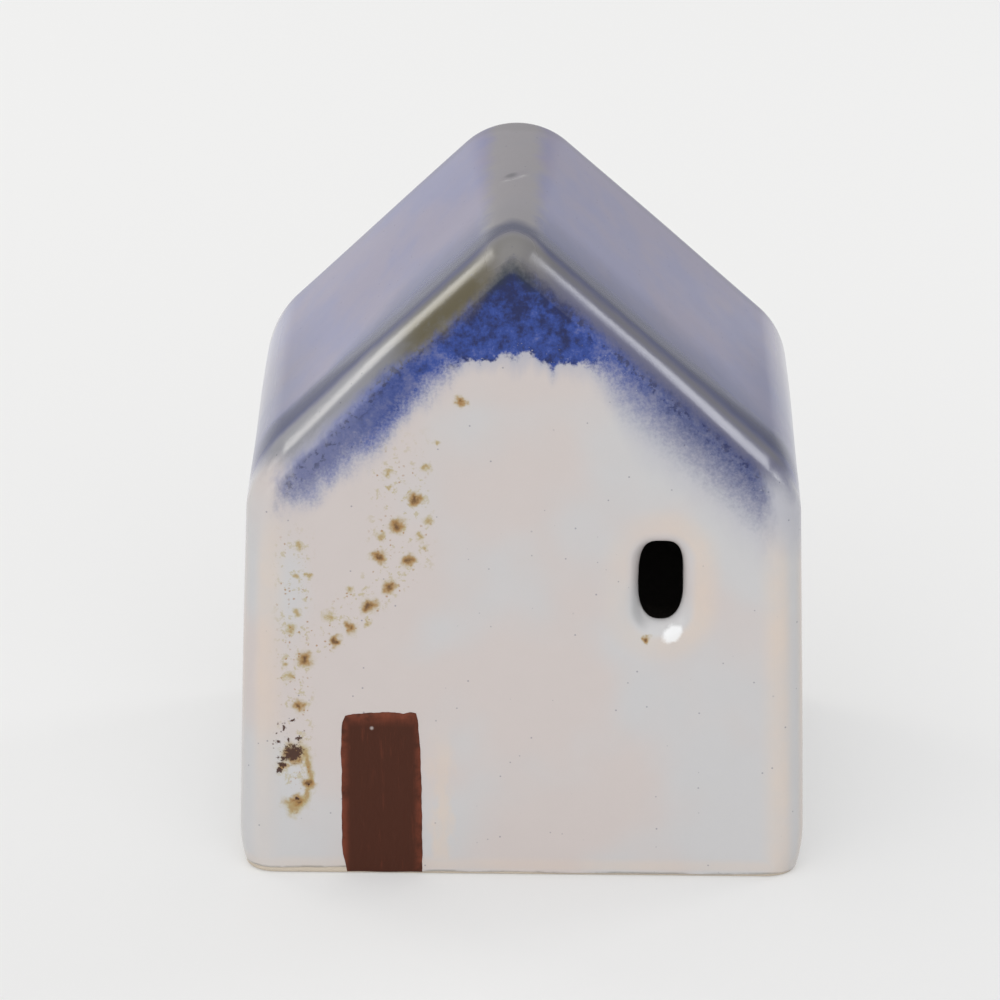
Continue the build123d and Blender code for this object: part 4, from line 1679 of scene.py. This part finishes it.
# Directions of the softboxes from the house, then their size, their distance and the floor's in metres
LEFT_BOX = (-0.735, 0.55, 0.398)
RIGHT_BOX = (0.79, 0.40, 0.455)
BOX_WIDTH = 0.28
BOX_HEIGHT = 0.16
BOX_AWAY = 0.85
FLOOR_HALF = 6.0
FLOOR_GREY = (0.88, 0.88, 0.875, 1.0)
BACKDROP_SHARE = 0.36


def lay_floor():
    """Lay a pale floor that shows the backdrop's colour and keeps the shadow."""
    half = FLOOR_HALF
    corners = [(-half, -half, 0), (half, -half, 0), (half, half, 0), (-half, half, 0)]
    mesh = bpy.data.meshes.new("floor")
    mesh.from_pydata(corners, [], [(0, 1, 2, 3)])
    floor = put_in_scene("floor", mesh)
    material = bpy.data.materials.new("floor")
    material.use_nodes = True
    graph = Graph(material.node_tree)
    shader = material.node_tree.nodes["Principled BSDF"]
    shader.inputs["Base Color"].default_value = FLOOR_GREY
    shader.inputs["Roughness"].default_value = 0.9
    shader.inputs["Specular IOR Level"].default_value = 0.0
    glow = graph.node("ShaderNodeEmission")
    graph.feed(glow.inputs["Color"], bpy.context.scene.tealight_stage.backdrop)
    seen = backdrop_rays(graph) * BACKDROP_SHARE
    both = graph.node("ShaderNodeMixShader")
    graph.feed(both.inputs[0], seen)
    material.node_tree.links.new(shader.outputs[0], both.inputs[1])
    material.node_tree.links.new(glow.outputs[0], both.inputs[2])
    material.node_tree.links.new(both.outputs[0], material.node_tree.nodes["Material Output"].inputs[0])
    mesh.materials.append(material)


def backdrop_rays(graph):
    """Return 1 for rays that show the backdrop: camera, glossy and transmission rays."""
    path = graph.node("ShaderNodeLightPath")
    rays = [Wire(graph, path.outputs[label]) for label in
            ("Is Camera Ray", "Is Glossy Ray", "Is Transmission Ray")]
    return graph.most(graph.most(rays[0], rays[1]), rays[2])


def light_room():
    """Fill the room with soft light: brightest in front, dimmer on the right."""
    world = bpy.data.worlds.new("room")
    bpy.context.scene.world = world
    world.use_nodes = True
    graph = Graph(world.node_tree)
    settings = bpy.context.scene.tealight_stage
    across, forward, up = graph.parts(Wire(graph, graph.node("ShaderNodeTexCoord").outputs["Generated"]))
    horizon = graph.smooth(0.2, 0.03, up)
    ahead = graph.smooth(0.2, 0.95, 0.0 - forward)
    level = settings.room_light + horizon * settings.horizon_light + ahead * settings.front_light
    level = level + graph.smooth(0.5, 0.95, up) * settings.ceiling_light
    level = level * (1.0 - 0.43 * graph.smooth(0.15, 0.9, across) + 0.16 * graph.smooth(-0.1, -0.8, across))
    light = world.node_tree.nodes["Background"]
    graph.feed(light.inputs["Color"], (1.0, 1.0, 1.0))
    graph.feed(light.inputs["Strength"], level)


def softbox(name, direction, brightness, tint):
    """Hang a softbox that faces the house."""
    lamp = bpy.data.lights.new(name, "AREA")
    lamp.shape = "RECTANGLE"
    lamp.size = BOX_WIDTH
    lamp.size_y = BOX_HEIGHT
    lamp.energy = brightness * math.pi * BOX_WIDTH * BOX_HEIGHT
    lamp.color = tint
    made = bpy.data.objects.new(name, lamp)
    bpy.context.scene.collection.objects.link(made)
    aim = Vector((0.0, 0.0, house().left_eave))
    outwards = Vector(direction).normalized()
    made.location = aim + outwards * BOX_AWAY
    made.rotation_euler = outwards.to_track_quat("Z", "Y").to_euler()


def set_camera():
    """Point the camera at the house from the front and above."""
    settings = bpy.context.scene.tealight_stage
    around, height = settings.azimuth, settings.elevation
    flat = math.cos(height)
    back = Vector((math.sin(around) * flat, -math.cos(around) * flat, math.sin(height)))
    right = Vector((math.cos(around), math.sin(around), 0.0))
    up = back.cross(right)
    turn = settings.roll
    across = right * math.cos(turn) + up * math.sin(turn)
    above = up * math.cos(turn) - right * math.sin(turn)
    data = bpy.data.cameras.new("camera")
    data.lens = settings.lens
    data.sensor_width = 36.0
    data.clip_start = 0.01
    camera = bpy.data.objects.new("camera", data)
    bpy.context.scene.collection.objects.link(camera)
    stand = Vector((settings.target_x, 0.0, settings.target_z)) + back * settings.distance
    turned_axes = Matrix((across, above, back)).transposed().to_4x4()
    camera.matrix_world = Matrix.Translation(stand) @ turned_axes
    bpy.context.scene.camera = camera


SETTINGS = (
    ("tealight_house", HouseSizes),
    ("tealight_door", DoorSizes),
    ("tealight_candle", CandleSizes),
    ("tealight_glazes", GlazeColours),
    ("tealight_stage", StageSettings),
)
OPERATORS = (
    TEALIGHT_OT_gables,
    TEALIGHT_OT_walls,
    TEALIGHT_OT_roofs,
    TEALIGHT_OT_door,
    TEALIGHT_OT_cup,
    TEALIGHT_OT_wax,
    TEALIGHT_OT_wick,
    TEALIGHT_OT_sustainer,
    TEALIGHT_OT_stage,
)


def register():
    for name, group in SETTINGS:
        bpy.utils.register_class(group)
        setattr(bpy.types.Scene, name, PointerProperty(type=group))
    for operator in OPERATORS:
        bpy.utils.register_class(operator)
    bpy.utils.register_class(TEALIGHT_PT_panel)


def unregister():
    bpy.utils.unregister_class(TEALIGHT_PT_panel)
    for operator in reversed(OPERATORS):
        bpy.utils.unregister_class(operator)
    for name, group in reversed(SETTINGS):
        delattr(bpy.types.Scene, name)
        bpy.utils.unregister_class(group)


def main():
    register()
    bpy.ops.tealight.gables()
    bpy.ops.tealight.walls()
    bpy.ops.tealight.roofs()
    bpy.ops.tealight.door()
    bpy.ops.tealight.cup()
    bpy.ops.tealight.wax()
    bpy.ops.tealight.wick()
    bpy.ops.tealight.sustainer()
    bpy.ops.tealight.stage()
    bpy.context.view_layer.update()


if __name__ == "__main__":
    main()
